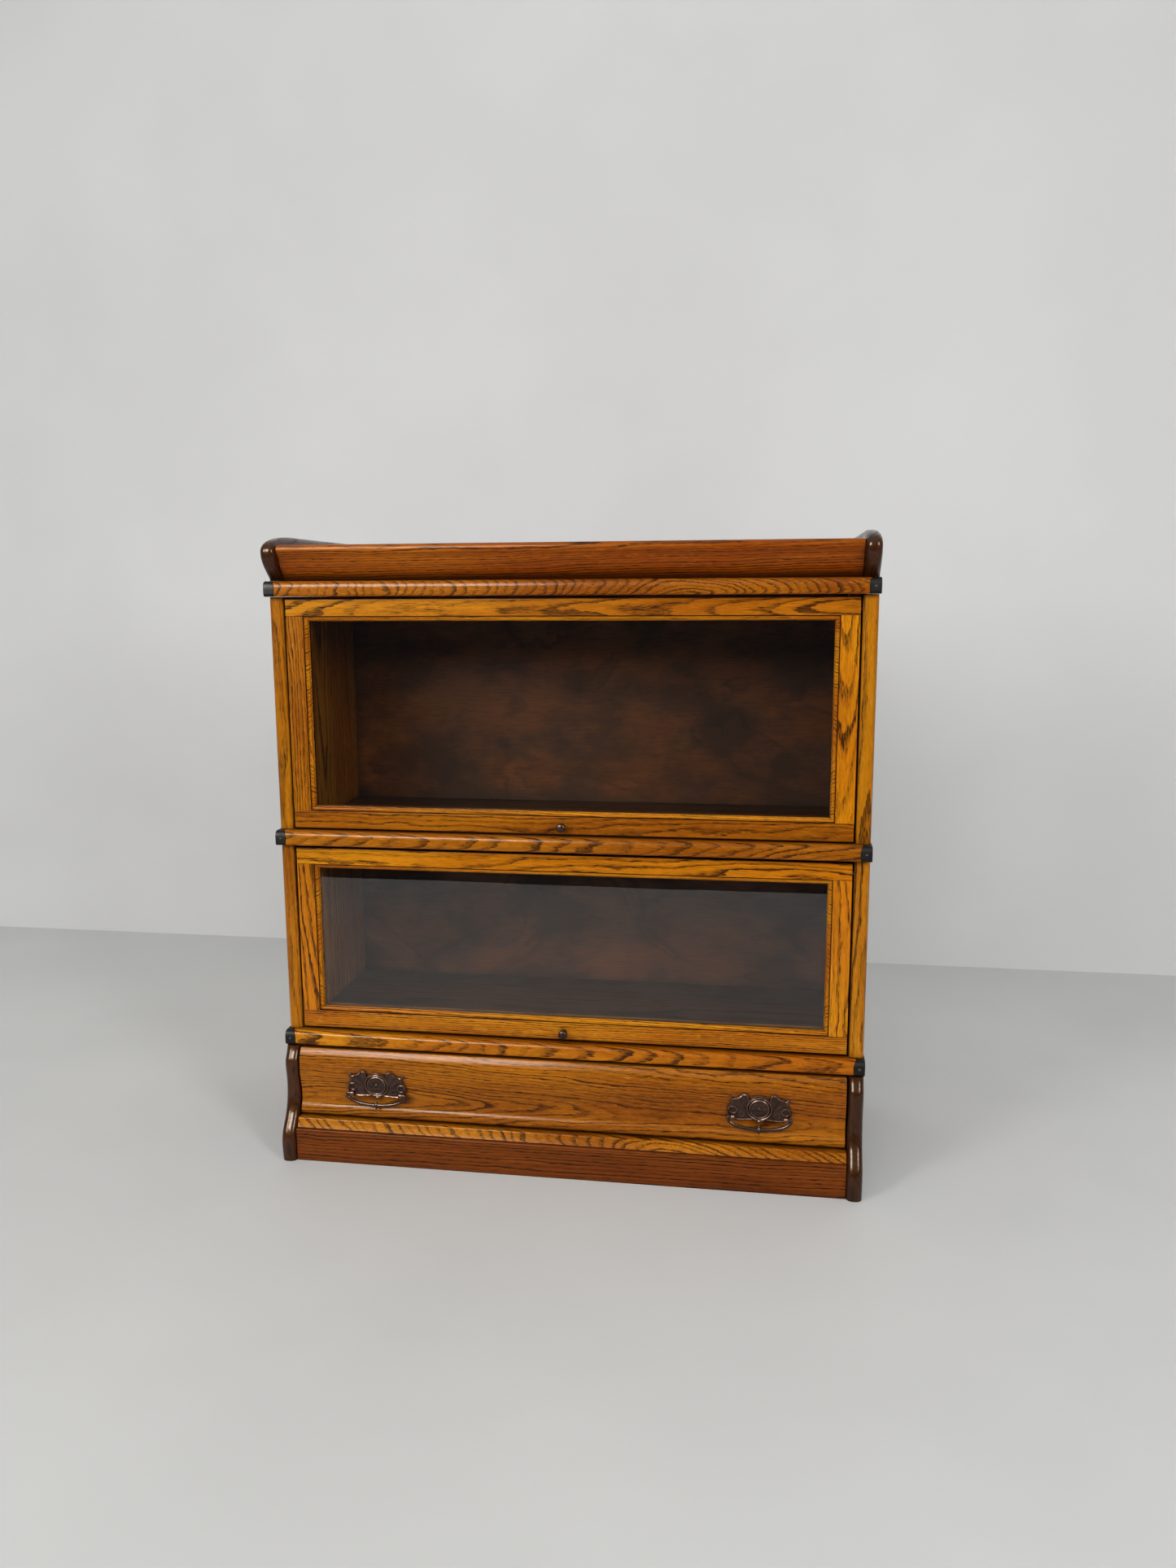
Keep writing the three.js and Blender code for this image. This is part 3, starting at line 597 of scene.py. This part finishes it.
IRON = make_metal(
    "cast_iron", rgb(32, 30, 27), rgb(124, 118, 108), rgb(18, 17, 16),
    roughness=0.46, dirt_size=0.003, metallic=0.75,
)
BRONZE = make_metal(
    "dark_bronze", rgb(74, 54, 45), rgb(150, 116, 95), rgb(24, 17, 14),
    roughness=0.36, dirt_size=0.003, metallic=0.9, coat=0.15, curved=True,
)
WIRE_BRONZE = make_metal(
    "wire_bronze", rgb(72, 54, 46), rgb(116, 88, 74), rgb(26, 20, 16),
    roughness=0.28, dirt_size=0.002, metallic=0.9, coat=0.3,
)
KNOB_BRONZE = make_metal(
    "knob_bronze", rgb(66, 44, 35), rgb(112, 78, 62), rgb(28, 19, 15),
    roughness=0.34, dirt_size=0.002, metallic=0.85, coat=0.15,
)
STEEL = make_metal(
    "rod_steel", rgb(120, 118, 116), rgb(190, 188, 184), rgb(70, 60, 50),
    roughness=0.34, dirt_size=0.003, metallic=0.95,
)
GLASS = make_glass()
VENEER = make_veneer("burr_veneer", rgb(128, 71, 35), rgb(80, 44, 23), rgb(45, 24, 12))
REAR_PLY = make_veneer("base_ply", rgb(136, 84, 48), rgb(100, 60, 34), rgb(78, 46, 27))


# ---- Base ----

END_ROUNDING = 9  # the radius of the front edges of the scrolled ends


def base_end(side):
    node = f"base_end_{side}"
    low, high = mm_box(node)
    toe = low.y
    below, above = low.z - SPARE, high.z + SPARE
    front = Pen(toe + 2.6, below).line(toe + 2.6, low.z)
    front.quad(toe, 12, toe, 28).curve(toe, 50, -37, 60, -31, 75)
    front.curve(-26, 88, -24, 100, -24.2, 115).curve(-24.4, 128, -28.5, 138, -26.5, 149)
    front.curve(-25, 157, -19.5, 160, -16.4, high.z).line(-14, above)
    corners = [Vector((high.y + SPARE, above)), Vector((high.y + SPARE, below))]
    limits = (low.z, high.z, high.y)
    piece = rounded_board(
        f"{node}_scroll", front.points, corners, low.x, high.x, END_ROUNDING, limits
    )
    ease(piece, 0.8, angle=50)
    pith = (200 * sign(side), 46, 24 * sign(side))
    material = oak(node, "dark", "Z", pith, (7, 5), 4.6)
    place(piece, material, "case", "dark_oak", node)


def plinth():
    node = "base_plinth"
    low, high = mm_box(node)
    arris = 2
    profile = Pen(high.y, low.z).line(low.y, low.z).line(low.y, high.z - arris)
    profile.quad(low.y, high.z, low.y + arris, high.z).line(high.y, high.z)
    piece = board_across(f"{node}_board", profile.points, low.x, high.x)
    ease(piece, 0.6)
    material = oak(node, "plinth", "X", (140, -34, 90), (0.3, 0.3), 4.8, 12)
    place(piece, material, "case", "red_oak", node)


def base_rail():
    node = "base_rail"
    low, high = mm_box(node)
    nose = low.y
    profile = Pen(high.y, low.z).line(nose, low.z).quad(-35, 57, -33.5, high.z - 2)
    profile.quad(-33, high.z, -31, high.z).line(high.y, high.z)
    piece = board_across(f"{node}_moulding", profile.points, low.x, high.x)
    ease(piece, 0.5)
    material = oak(node, "amber", "X", (0, -22, 16), (0, 17), 5.0, 16)
    place(piece, material, "case", "oak", node)


# ---- Floors ----

CAP_WIDTH = 15.3  # of the iron caps on the ends of a nosing
# The finish of each nosing, and how it is cut from the log
NOSING_BOARDS = {
    "bottom": ("golden", (260, -40, 12), (1.2, 5)),
    "middle": ("amber", (-90, -30, 12), (0.5, 6)),
    "top": ("top", (40, -30, 12), (0, 17)),
}


def nosing(level):
    node = f"{level}_nosing"
    low, high = mm_box(node)
    top = high.z
    profile = Pen(high.y, low.z).line(low.y + 5, low.z).quad(low.y, low.z, low.y, low.z + 5)
    profile.line(low.y, low.z + 12).quad(low.y, top, low.y + 9, top, 12).line(high.y, top)
    piece = board_across(f"{node}_moulding", profile.points, low.x, high.x)
    for side in SIDES:
        band_low, band_high = mm_box(f"{level}_band_{side}")
        outer = band_high.x if side == "right" else -band_low.x
        inner = outer - CAP_WIDTH
        seat = Pen(outer + 5, low.z - 1).line(inner, low.z - 1).line(inner - 0.8, low.z + 10)
        seat.quad(inner - 1, top - 4, inner + 3.5, top + 1).line(outer + 5, top + 1)
        bm = bmesh.new()
        corners = [(sign(side) * x, z) for x, z in seat.points]
        loops = [[bm.verts.new((x, y, z)) for x, z in corners] for y in (-20, 0.2)]
        bridge(bm, loops)
        combine(piece, make_object("seat_cut", bm), "DIFFERENCE")
    ease(piece, 0.4)
    finish, pith, tilt = NOSING_BOARDS[level]
    material = oak(node, finish, "X", pith, tilt, 4.0, 22)
    place(piece, material, "case", "oak", node)


def band_rivet(level, side):
    """The round head in the middle of an iron cap."""
    low, high = mm_box(f"{level}_band_{side}")
    from_end = 7.6
    x = (high.x - from_end) if side == "right" else (low.x + from_end)
    profile = [(TIP, 1.1), (0.9, 1.0), (1.6, 0.7), (2.0, 0.25), (2.1, -0.6), (TIP, -0.6)]
    centre = (x, low.y, (low.z + high.z) / 2 - 1)
    piece = turned(f"{level}_band_{side}_rivet", profile, centre, steps=20)
    place(crisp(piece), IRON, "case", "iron")


def floors():
    for number, level in enumerate(LEVELS):
        nosing(level)
        node = f"{level}_floor"
        keep(node, oak(node, "inside", "X", (90 * number, 30, 80), (0.8, 1), 5.5), 0.6)
        for side in SIDES:
            keep(f"{level}_band_{side}", IRON, 0.5, 3)
            band_rivet(level, side)


# ---- Glazed sections ----


def glazing_bead(section):
    """A mitred ovolo moulding that runs round the opening in front of the glass."""
    node = f"{section}_door_bead"
    low, high = mm_box(node)
    front, back = low.y, high.y
    quirk = front + 1.8  # a narrow groove that parts the bead from the frame
    profile = [(0, quirk), (1.0, quirk), (1.0, front + 0.4)]
    profile += [(1.3, front + 0.1), (2.1, front + 0.1), (2.4, front + 0.8)]
    steps = 7
    for i in range(steps + 1):
        a = math.pi / 2 * i / steps
        profile.append((2.5 + 3.4 * math.sin(a), front + 1 + 3.6 * (1 - math.cos(a))))
    width = 6.7
    profile += [(width - 0.5, front + 5.0), (width, front + 5.3), (width, back), (0, back)]
    bm = bmesh.new()
    rings = []
    for inset, y in profile:
        left, right = low.x + inset, high.x - inset
        bottom, top = low.z + inset, high.z - inset
        corners = ((left, bottom), (right, bottom), (right, top), (left, top))
        rings.append([bm.verts.new((x, y, z)) for x, z in corners])
    for a, b in zip(rings, rings[1:] + rings[:1]):
        for i in range(4):
            j = (i + 1) % 4
            bm.faces.new((a[i], a[j], b[j], b[i]))
    piece = crisp(make_object(f"{node}_ovolo", bm), 38)
    material = oak(node, "golden", "X", (0, -50, 40), (0, 2), 4.0, 18)
    place(piece, material, f"{section}_door", "oak", node)


def door_knob(section):
    node = f"{section}_door_knob"
    low, high = mm_box(node)
    centre = ((low.x + high.x) / 2, high.y, (low.z + high.z) / 2)
    foot = [(TIP, -0.2), (4.5, 0), (4.6, 0.9), (4.3, 1.7)]
    neck = [(3.2, 2.6), (2.8, 4), (2.9, 5.6), (3.5, 7.2)]
    head = [(4.9, 8.2), (6.1, 9.2), (6.6, 10.6), (6.5, 11.9)]
    crown = [(5.8, 13), (4.2, 13.7), (2.2, 14.3), (TIP, 14.5)]
    profile = foot + neck + head + crown
    piece = turned(f"{node}_turned", profile, centre)
    place(crisp(piece), KNOB_BRONZE, f"{section}_door", "bronze", node)


# How each board is cut from its log. On a door: finish, grain, pith, tilt, spacing and wander. On
# a side: pith and tilt
DOOR_BOARDS = {
    "upper": {
        "top_rail": ("golden", "X", (-120, -26, 3), (0.8, 2.4), 4.0, 24),
        "bottom_rail": ("amber", "X", (60, -50, 24), (0.3, 0.6), 3.0, 16),
        "stile_left": ("amber", "Z", (80, -50, 60), (0.5, 1), 3.0, 16),
        "stile_right": ("light", "Z", (70, -26, -3), (0.8, 3.2), 4.2, 22),
    },
    "lower": {
        "top_rail": ("light", "X", (210, -42, 16), (0.5, 0.8), 3.6, 26),
        "bottom_rail": ("golden", "X", (0, 14, 90), (0.3, 0.5), 3.2, 14),
        "stile_left": ("light", "Z", (130, -36, 14), (0.8, 1), 3.6, 22),
        "stile_right": ("light", "Z", (10, -40, 22), (0.8, 0.6), 3.4, 20),
    },
}
SIDE_BOARDS = {
    "upper": {"left": ((60, 20, 62), (1.0, 1.4)), "right": ((-90, -24, -58), (1.2, 1.0))},
    "lower": {"left": ((10, 30, 70), (0.8, 1.6)), "right": ((150, -12, -64), (1.0, 1.2))},
}


def glazed_section(section):
    for board, cut in DOOR_BOARDS[section].items():
        node = f"{section}_door_{board}"
        keep(node, oak(node, *cut), 0.6)
    for side in SIDES:
        node = f"{section}_side_{side}"
        pith, tilt = SIDE_BOARDS[section][side]
        keep(node, oak(node, "side", "Z", pith, tilt, 5.4, 30), 0.5)
        keep(f"{section}_glide_{side}", STEEL, 0.3)
    keep(f"{section}_back", VENEER, 0.4)
    keep(f"{section}_rod", STEEL, 0.3)
    keep(f"{section}_door_glass", GLASS, 0.15)
    glazing_bead(section)
    door_knob(section)


# ---- Drawer ----


def drawer_front():
    node = "drawer_front"
    low, high = mm_box(node)
    profile = Pen(high.y, low.z).line(-18, low.z).curve(-25.5, low.z, -25.5, 76, -21, 82)
    profile.curve(-17.5, 88, -18, 104, -21.5, 117).curve(-24.5, 129, -25.5, 150, -22.5, 158)
    profile.quad(-20, 165, -16, high.z).line(high.y, high.z)
    piece = board_across(f"{node}_ogee", profile.points, low.x, high.x)
    ease(piece, 0.7)
    material = oak(node, "drawer", "X", (-60, -40, 24), (0.3, -1.6), 3.1, 24)
    place(piece, material, "drawer", "oak", node)


HANDLE_CENTRE = Vector((286, -23.2, 120))
HANDLE_TILT = math.atan(0.117)  # the face of the drawer leans forward there
MEDALLION = 20.0
EYE = Vector((37.8, -12.4))  # of the bail, from the middle of the plate
BAIL_DROP = 17.0  # from the pivots to the lowest part of the wire
PLATE_THICKNESS = 1.2  # of the sheet under the relief


def plate_outline():
    """A round medallion between two winged ends: the right half from the bottom up, mirrored."""
    notch = 0.72
    half = Pen(0, -23).quad(6, -21, 9, -18).quad(24, -20, 37, -19).quad(45, -15, 45.5, -6)
    half.quad(45, 3, 40, 7).quad(40, 12, 43.5, 14).quad(42, 20, 38, 14.5)
    half.quad(30, 15, 24, 22).quad(18, 24.5, 15.5, 19.5)
    half.arc(0, 0, MEDALLION, notch, math.pi / 2, 14)
    right = half.points
    left = [Vector((-x, z)) for x, z in reversed(right[1:-1])]
    return right + left


def distance_to(outline, x, z):
    """How far each point lies from the outline's edge."""
    nearest = np.full(x.shape, 1e9)
    for a, b in zip(outline, outline[1:] + outline[:1]):
        dx, dz = b.x - a.x, b.y - a.y
        share = ((x - a.x) * dx + (z - a.y) * dz) / max(dx * dx + dz * dz, 1e-9)
        share = np.clip(share, 0, 1)
        nearest = np.minimum(nearest, np.hypot(x - a.x - share * dx, z - a.y - share * dz))
    return nearest


def ridge(distance, width):
    return np.exp(-((distance / width) ** 2))


def plate_relief(outline, x, z):
    """How far the pressed face of the plate stands out at each point."""
    across = np.abs(x)
    r = np.hypot(x, z)
    turn = np.arctan2(z, x)
    rim = ridge(distance_to(outline, x, z) - 1.1, 0.9)
    inside = 1 / (1 + np.exp((r - MEDALLION + 1.2) * 2.2))
    dome = 1.6 + 1.2 * np.clip(1 - (r / MEDALLION) ** 2, 0, 1)
    dome += 1.3 * ridge(r - 17.4, 1.0) + 1.1 * ridge(r - 13.8, 0.8) - 0.6 * ridge(r - 15.6, 0.8)
    petals = np.abs(np.cos(3 * turn)) ** 0.8 * ridge(r - 7.4, 3.0)
    dome += 1.0 * petals + 1.3 * ridge(r, 2.4) - 0.5 * ridge(r - 3.5, 0.7)
    fan = np.arctan2(z + 15, across - 15)
    reach = np.hypot(z + 15, across - 15)
    feathers = (0.5 + 0.5 * np.cos(fan * 17 + reach * 0.16)) * np.clip((z + 4) / 6, 0, 1)
    wing = 0.9 + 0.9 * feathers + 1.2 * rim
    scroll = np.hypot(across - EYE.x, z + 4)
    wing += 1.1 * ridge(scroll - 5.6, 1.0) * (z > -14)
    wing += 0.7 * ridge(np.hypot(across - 26, z + 11) - 4.2, 0.9)
    return dome * inside + wing * (1 - inside)


def relief_solid(name, outline):
    """The plate: a fine relief over a flat back, cut to its outline."""
    cell = 0.62
    half_width, low, high = 47.0, -24.5, 25.5
    columns = int(2 * half_width / cell)
    rows = int((high - low) / cell)
    across = np.linspace(-half_width, half_width, columns)
    xs, zs = np.meshgrid(across, np.linspace(low, high, rows))
    heights = plate_relief(outline, xs, zs) + PLATE_THICKNESS
    bm = bmesh.new()
    face = [
        [bm.verts.new((xs[r, c], -heights[r, c], zs[r, c])) for c in range(columns)]
        for r in range(rows)
    ]
    for r in range(rows - 1):
        for c in range(columns - 1):
            bm.faces.new((face[r][c], face[r][c + 1], face[r + 1][c + 1], face[r + 1][c]))
    border = face[0] + [row[-1] for row in face[1:]]
    border += face[-1][-2::-1] + [row[0] for row in face[-2:0:-1]]
    behind = [bm.verts.new((v.co.x, 1.0, v.co.z)) for v in border]
    for i in range(len(border)):
        j = (i + 1) % len(border)
        bm.faces.new((border[i], border[j], behind[j], behind[i]))
    bm.faces.new(behind)
    relief = make_object(name, bm)
    cutter = bmesh.new()
    loops = [[cutter.verts.new((x, y, z)) for x, z in outline] for y in (-8.0, -0.1)]
    bridge(cutter, loops)
    return combine(relief, make_object("outline_cut", cutter), "INTERSECT")


def seat_handle(piece, side):
    """Moves a piece drawn round the middle of a plate to its place on the drawer, leaning."""
    centre = HANDLE_CENTRE.copy()
    centre.x *= sign(side)
    here = Matrix.Translation((0, SIDES_FRONT, 0))
    there = Matrix.Translation(centre * MM + Vector((0, SIDES_FRONT, 0)))
    piece.data.transform(there @ Matrix.Rotation(HANDLE_TILT, 4, "X") @ here.inverted())


def handle_plate(side):
    node = f"handle_plate_{side}"
    piece = relief_solid(f"{node}_pressed", plate_outline())
    post = [(TIP, -0.4), (4.6, -0.2), (4.4, 1.8), (3.2, 3.0), (2.7, 4.4), (2.9, 5.4)]
    post += [(3.5, 6.6), (3.7, 8.0), (3.4, 9.4), (2.4, 10.6), (TIP, 11.2)]
    for x in (-EYE.x, EYE.x):
        boss = turned("boss", post, (x, 0, EYE.y), steps=24)
        combine(piece, boss, "UNION")
    pendant = [(TIP, 0), (3.2, 0.5), (2.6, 2.4), (1.2, 3.3), (TIP, 3.5)]
    combine(piece, turned("pendant", pendant, (0, -1.6, -20.4), steps=20), "UNION")
    seat_handle(crisp(piece), side)
    place(piece, BRONZE, "drawer", "bronze", node)


def bail_route():
    """The hanging wire: out from the left eye, down round a shallow half oval, up to the right."""
    half, drop, rise = 45.0, BAIL_DROP, 1.5
    pen = Pen(-EYE.x + 1.5, 0).curve(-half + 1, 0.5, -half, 1.5, -half, -rise, 8)
    pen.curve(-half, -9, -30, -drop, 0, -drop, 26)
    left = [Vector((x, 0, z)) for x, z in pen.points]
    right = [Vector((-p.x, 0, p.z)) for p in reversed(left[:-1])]
    return left + right


def bail(side):
    node = f"bail_{side}"
    bm = bmesh.new()
    route = bail_route()
    middle = len(route) // 2
    radii = []
    for i in range(len(route)):
        near = 1 - abs(i - middle) / middle
        radii.append(1.7 + 0.8 * math.sin(math.pi / 2 * min(1, near * 1.6)))
    sweep_into(bm, route, radii)
    piece = make_object(f"{node}_wire", bm)
    finial = [(TIP, -7), (0.9, -6.6), (1.5, -5.4), (1.1, -4.4), (2.0, -3.6), (3.2, -2.2), (3.5, 0)]
    finial += [(radius, -out) for radius, out in reversed(finial[:-1])]
    bead = turned("bead", finial, (0, 0, 0), "X", 24)
    upright = Matrix.Translation((0, SIDES_FRONT, -BAIL_DROP * MM))
    upright = upright @ Matrix.Rotation(math.pi / 2, 4, "Y")
    bead.data.transform(upright @ Matrix.Translation((0, -SIDES_FRONT, 0)))
    combine(piece, bead, "UNION")
    pivot = Vector(next(j["pos_m"] for j in frame["joints"] if j["name"] == f"{node}_swing"))
    piece.data.transform(Matrix.Translation(pivot - Vector((0, SIDES_FRONT, 0))))
    place(crisp(piece), WIRE_BRONZE, node, "bronze", node)


def drawer():
    drawer_front()
    for side in SIDES:
        node = f"drawer_side_{side}"
        keep(node, oak(node, "inside", "Y", (20, 60 * sign(side), 50), (1, 1), 4.6), 0.8)
        runner = f"drawer_runner_{side}"
        keep(runner, oak(runner, "inside", "Y", (70, 40, 60), (1, 2), 4.6), 0.6)
        handle_plate(side)
        bail(side)
    keep("drawer_back", oak("drawer_back", "inside", "X", (0, -60, 30), (1, 1)), 0.8)
    keep("drawer_bottom", REAR_PLY, 0.3)
    keep("base_back", REAR_PLY, 0.4)


# ---- Cornice ----


def cornice_end(side):
    node = f"cornice_end_{side}"
    low, high = mm_box(node)
    nose, top = low.y, high.z
    below, behind = low.z - SPARE, high.y + SPARE
    front = Pen(10, below).line(2, low.z).curve(-7, 881, nose, 893, nose, 911)
    front.curve(nose, 923, -14, 928, 8, 931.5).quad(28, top, 60, top).line(behind, top)
    corners = [Vector((behind, below))]
    limits = (low.z, high.z, high.y)
    piece = rounded_board(
        f"{node}_scroll", front.points, corners, low.x, high.x, END_ROUNDING, limits
    )
    ease(piece, 0.8, angle=50)
    pith = (60 * sign(side), 52 * sign(side), 20)
    material = oak(node, "dark", "Y", pith, (4, 3), 4.6)
    place(piece, material, "case", "dark_oak", node)


def cornice_front():
    node = "cornice_front"
    low, high = mm_box(node)
    nose, top = low.y, high.z
    profile = Pen(high.y, low.z).line(9, low.z).quad(-3, 885, -11.5, 902)
    profile.curve(-14, 907, nose, 909, nose, 914.5).quad(nose, top, -11, top).line(high.y, top)
    piece = board_across(f"{node}_moulding", profile.points, low.x, high.x)
    ease(piece, 0.6)
    material = oak(node, "red", "X", (120, -40, 34), (0.6, 1.2), 3.6, 20)
    place(piece, material, "case", "red_oak", node)


def cornice():
    for side in SIDES:
        cornice_end(side)
    cornice_front()
    keep("cornice_top", oak("cornice_top", "red", "X", (40, 30, -85), (1, 1.4), 6.0, 34), 0.6)
    keep("cornice_back", oak("cornice_back", "inside", "X", (40, 60, 30), (1, 1)), 0.6)


# ---- Stage: floor, wall, lights and camera ----


def stage_plane(name, low, high, material):
    """A flat rectangle between two opposite corners, both on a plane of constant y or z."""
    (x0, y0, z0), (x1, y1, z1) = low, high
    if z0 == z1:
        corners = [(x0, y0, z0), (x1, y0, z0), (x1, y1, z0), (x0, y1, z0)]
    else:
        corners = [(x0, y0, z0), (x1, y0, z0), (x1, y0, z1), (x0, y0, z1)]
    mesh = bpy.data.meshes.new(name)
    mesh.from_pydata(corners, [], [(0, 1, 2, 3)])
    mesh.materials.append(material)
    plane = bpy.data.objects.new(name, mesh)
    bpy.context.scene.collection.objects.link(plane)


def make_stage_paint(name, colour, roughness, see_through_behind=False):
    """Matt paint, a little uneven. The wall's can be seen through from behind the case."""
    material, t, shader = new_material(name)
    coordinates = t.node("TexCoord").outputs["Object"]
    drift = t.rise(t.noise(coordinates, 3.0, 0.6, scale=1.4), 0.3, 0.7, 0.97, 1.03)
    tint = t.node("CombineXYZ", {0: drift, 1: drift, 2: drift}).outputs[0]
    t.feed(shader.inputs["Base Color"], t.mix(1.0, colour, tint, "MULTIPLY"))
    shader.inputs["Roughness"].default_value = roughness
    shader.inputs["Specular IOR Level"].default_value = 0.15
    if see_through_behind:
        clear = t.node("BsdfTransparent")
        behind = t.node("NewGeometry").outputs["Backfacing"]
        mixed = t.node("MixShader", {0: behind, 1: shader.outputs[0], 2: clear.outputs[0]})
        t.tree.links.new(mixed.outputs[0], t.tree.nodes["Material Output"].inputs[0])
    return material


WHITE = (1.0, 1.0, 1.0)


def add_area_light(name, location, target, size, power, colour=WHITE, diffuse=True, gloss=True):
    """A rectangular light turned to its target. diffuse and gloss say whether matt and polished
    surfaces show it."""
    data = bpy.data.lights.new(name, "AREA")
    data.shape = "RECTANGLE"
    data.size, data.size_y = size
    data.energy = power
    data.color = colour
    light = bpy.data.objects.new(name, data)
    light.location = location
    aim = Vector(target) - Vector(location)
    light.rotation_euler = aim.to_track_quat("-Z", "Y").to_euler()
    light.visible_diffuse = diffuse
    light.visible_glossy = gloss
    bpy.context.scene.collection.objects.link(light)


FLOOR_FRONT = -1.78  # the floor's near edge; the lower pane mirrors the dark past it along its top
WALL_Y = 0.93
STAGE_HALF = 14.0  # half the width of the floor and the wall
FLOOR_BACK = 4.5
WALL_TOP = 6.0


def build_stage():
    floor_paint = make_stage_paint("floor_paint", rgb(203, 203, 201), 0.5)
    stage_plane("floor", (-STAGE_HALF, FLOOR_FRONT, 0.0), (STAGE_HALF, FLOOR_BACK, 0.0), floor_paint)
    wall_paint = make_stage_paint("wall_paint", rgb(222, 222, 221), 0.9, see_through_behind=True)
    stage_plane("wall", (-STAGE_HALF, WALL_Y, 0.0), (STAGE_HALF, WALL_Y, WALL_TOP), wall_paint)

    world = bpy.data.worlds.new("studio")
    bpy.context.scene.world = world
    world.use_nodes = True
    t = Tree(world.node_tree)
    direction = t.node("SeparateXYZ", {0: t.node("TexCoord").outputs["Generated"]})
    height = t.rise(direction.outputs[2], 0.12, 0.7, 0.05, 0.5)
    background = world.node_tree.nodes["Background"]
    background.inputs["Color"].default_value = (0.96, 0.98, 1.0, 1.0)
    t.feed(background.inputs["Strength"], height)

    middle = (0, 0, 0.45)
    warm, cool = (1.0, 0.98, 0.95), (0.98, 0.99, 1.0)
    add_area_light("key_left", (-2.2, -2.7, 1.95), middle, (1.0, 1.5), 48, warm)
    add_area_light("fill_right", (2.4, -2.5, 1.9), middle, (0.8, 1.5), 46, cool)
    add_area_light("front", (0.2, -3.2, 1.9), (0, 0.3, 0.5), (2.0, 0.9), 33, gloss=False)
    add_area_light("overhead", (0.0, -0.4, 3.4), (0, 0, 0), (3.0, 2.4), 8)
    # Three lights that only polished surfaces mirror, high enough that the panes don't
    strip = (0.16, 1.2)
    add_area_light("gloss_above", (-0.95, -2.2, 1.8), (-0.2, 0, 0.5), (0.9, 1.0), 80, diffuse=False)
    add_area_light("gloss_left", (-2.0, -2.1, 1.85), (0, 0, 0.5), strip, 24, diffuse=False)
    add_area_light("gloss_right", (2.3, -1.7, 1.85), (0, 0, 0.5), strip, 32, diffuse=False)


CAMERA_PLACE = Vector((0.28666, -1.7335, 0.85112))
CAMERA_YAW = math.radians(-8.8569)  # to the left of straight ahead
CAMERA_PITCH = math.radians(-9.3287)
CAMERA_ROLL = math.radians(-0.304)
CAMERA_LENS = 26.62  # for a long side of 36 mm


def add_camera():
    data = bpy.data.cameras.new("camera")
    data.lens = CAMERA_LENS
    data.sensor_width = 36.0
    camera = bpy.data.objects.new("camera", data)
    bpy.context.scene.collection.objects.link(camera)
    look = Matrix.Rotation(-CAMERA_YAW, 4, "Z") @ Matrix.Rotation(math.pi / 2 + CAMERA_PITCH, 4, "X")
    camera.matrix_world = Matrix.Translation(CAMERA_PLACE) @ look @ Matrix.Rotation(CAMERA_ROLL, 4, "Z")
    bpy.context.scene.camera = camera
    bpy.context.scene.view_settings.view_transform = "Standard"


add_camera()
build_stage()
for side in SIDES:
    base_end(side)
plinth()
base_rail()
floors()
for section in SECTIONS:
    glazed_section(section)
drawer()
cornice()
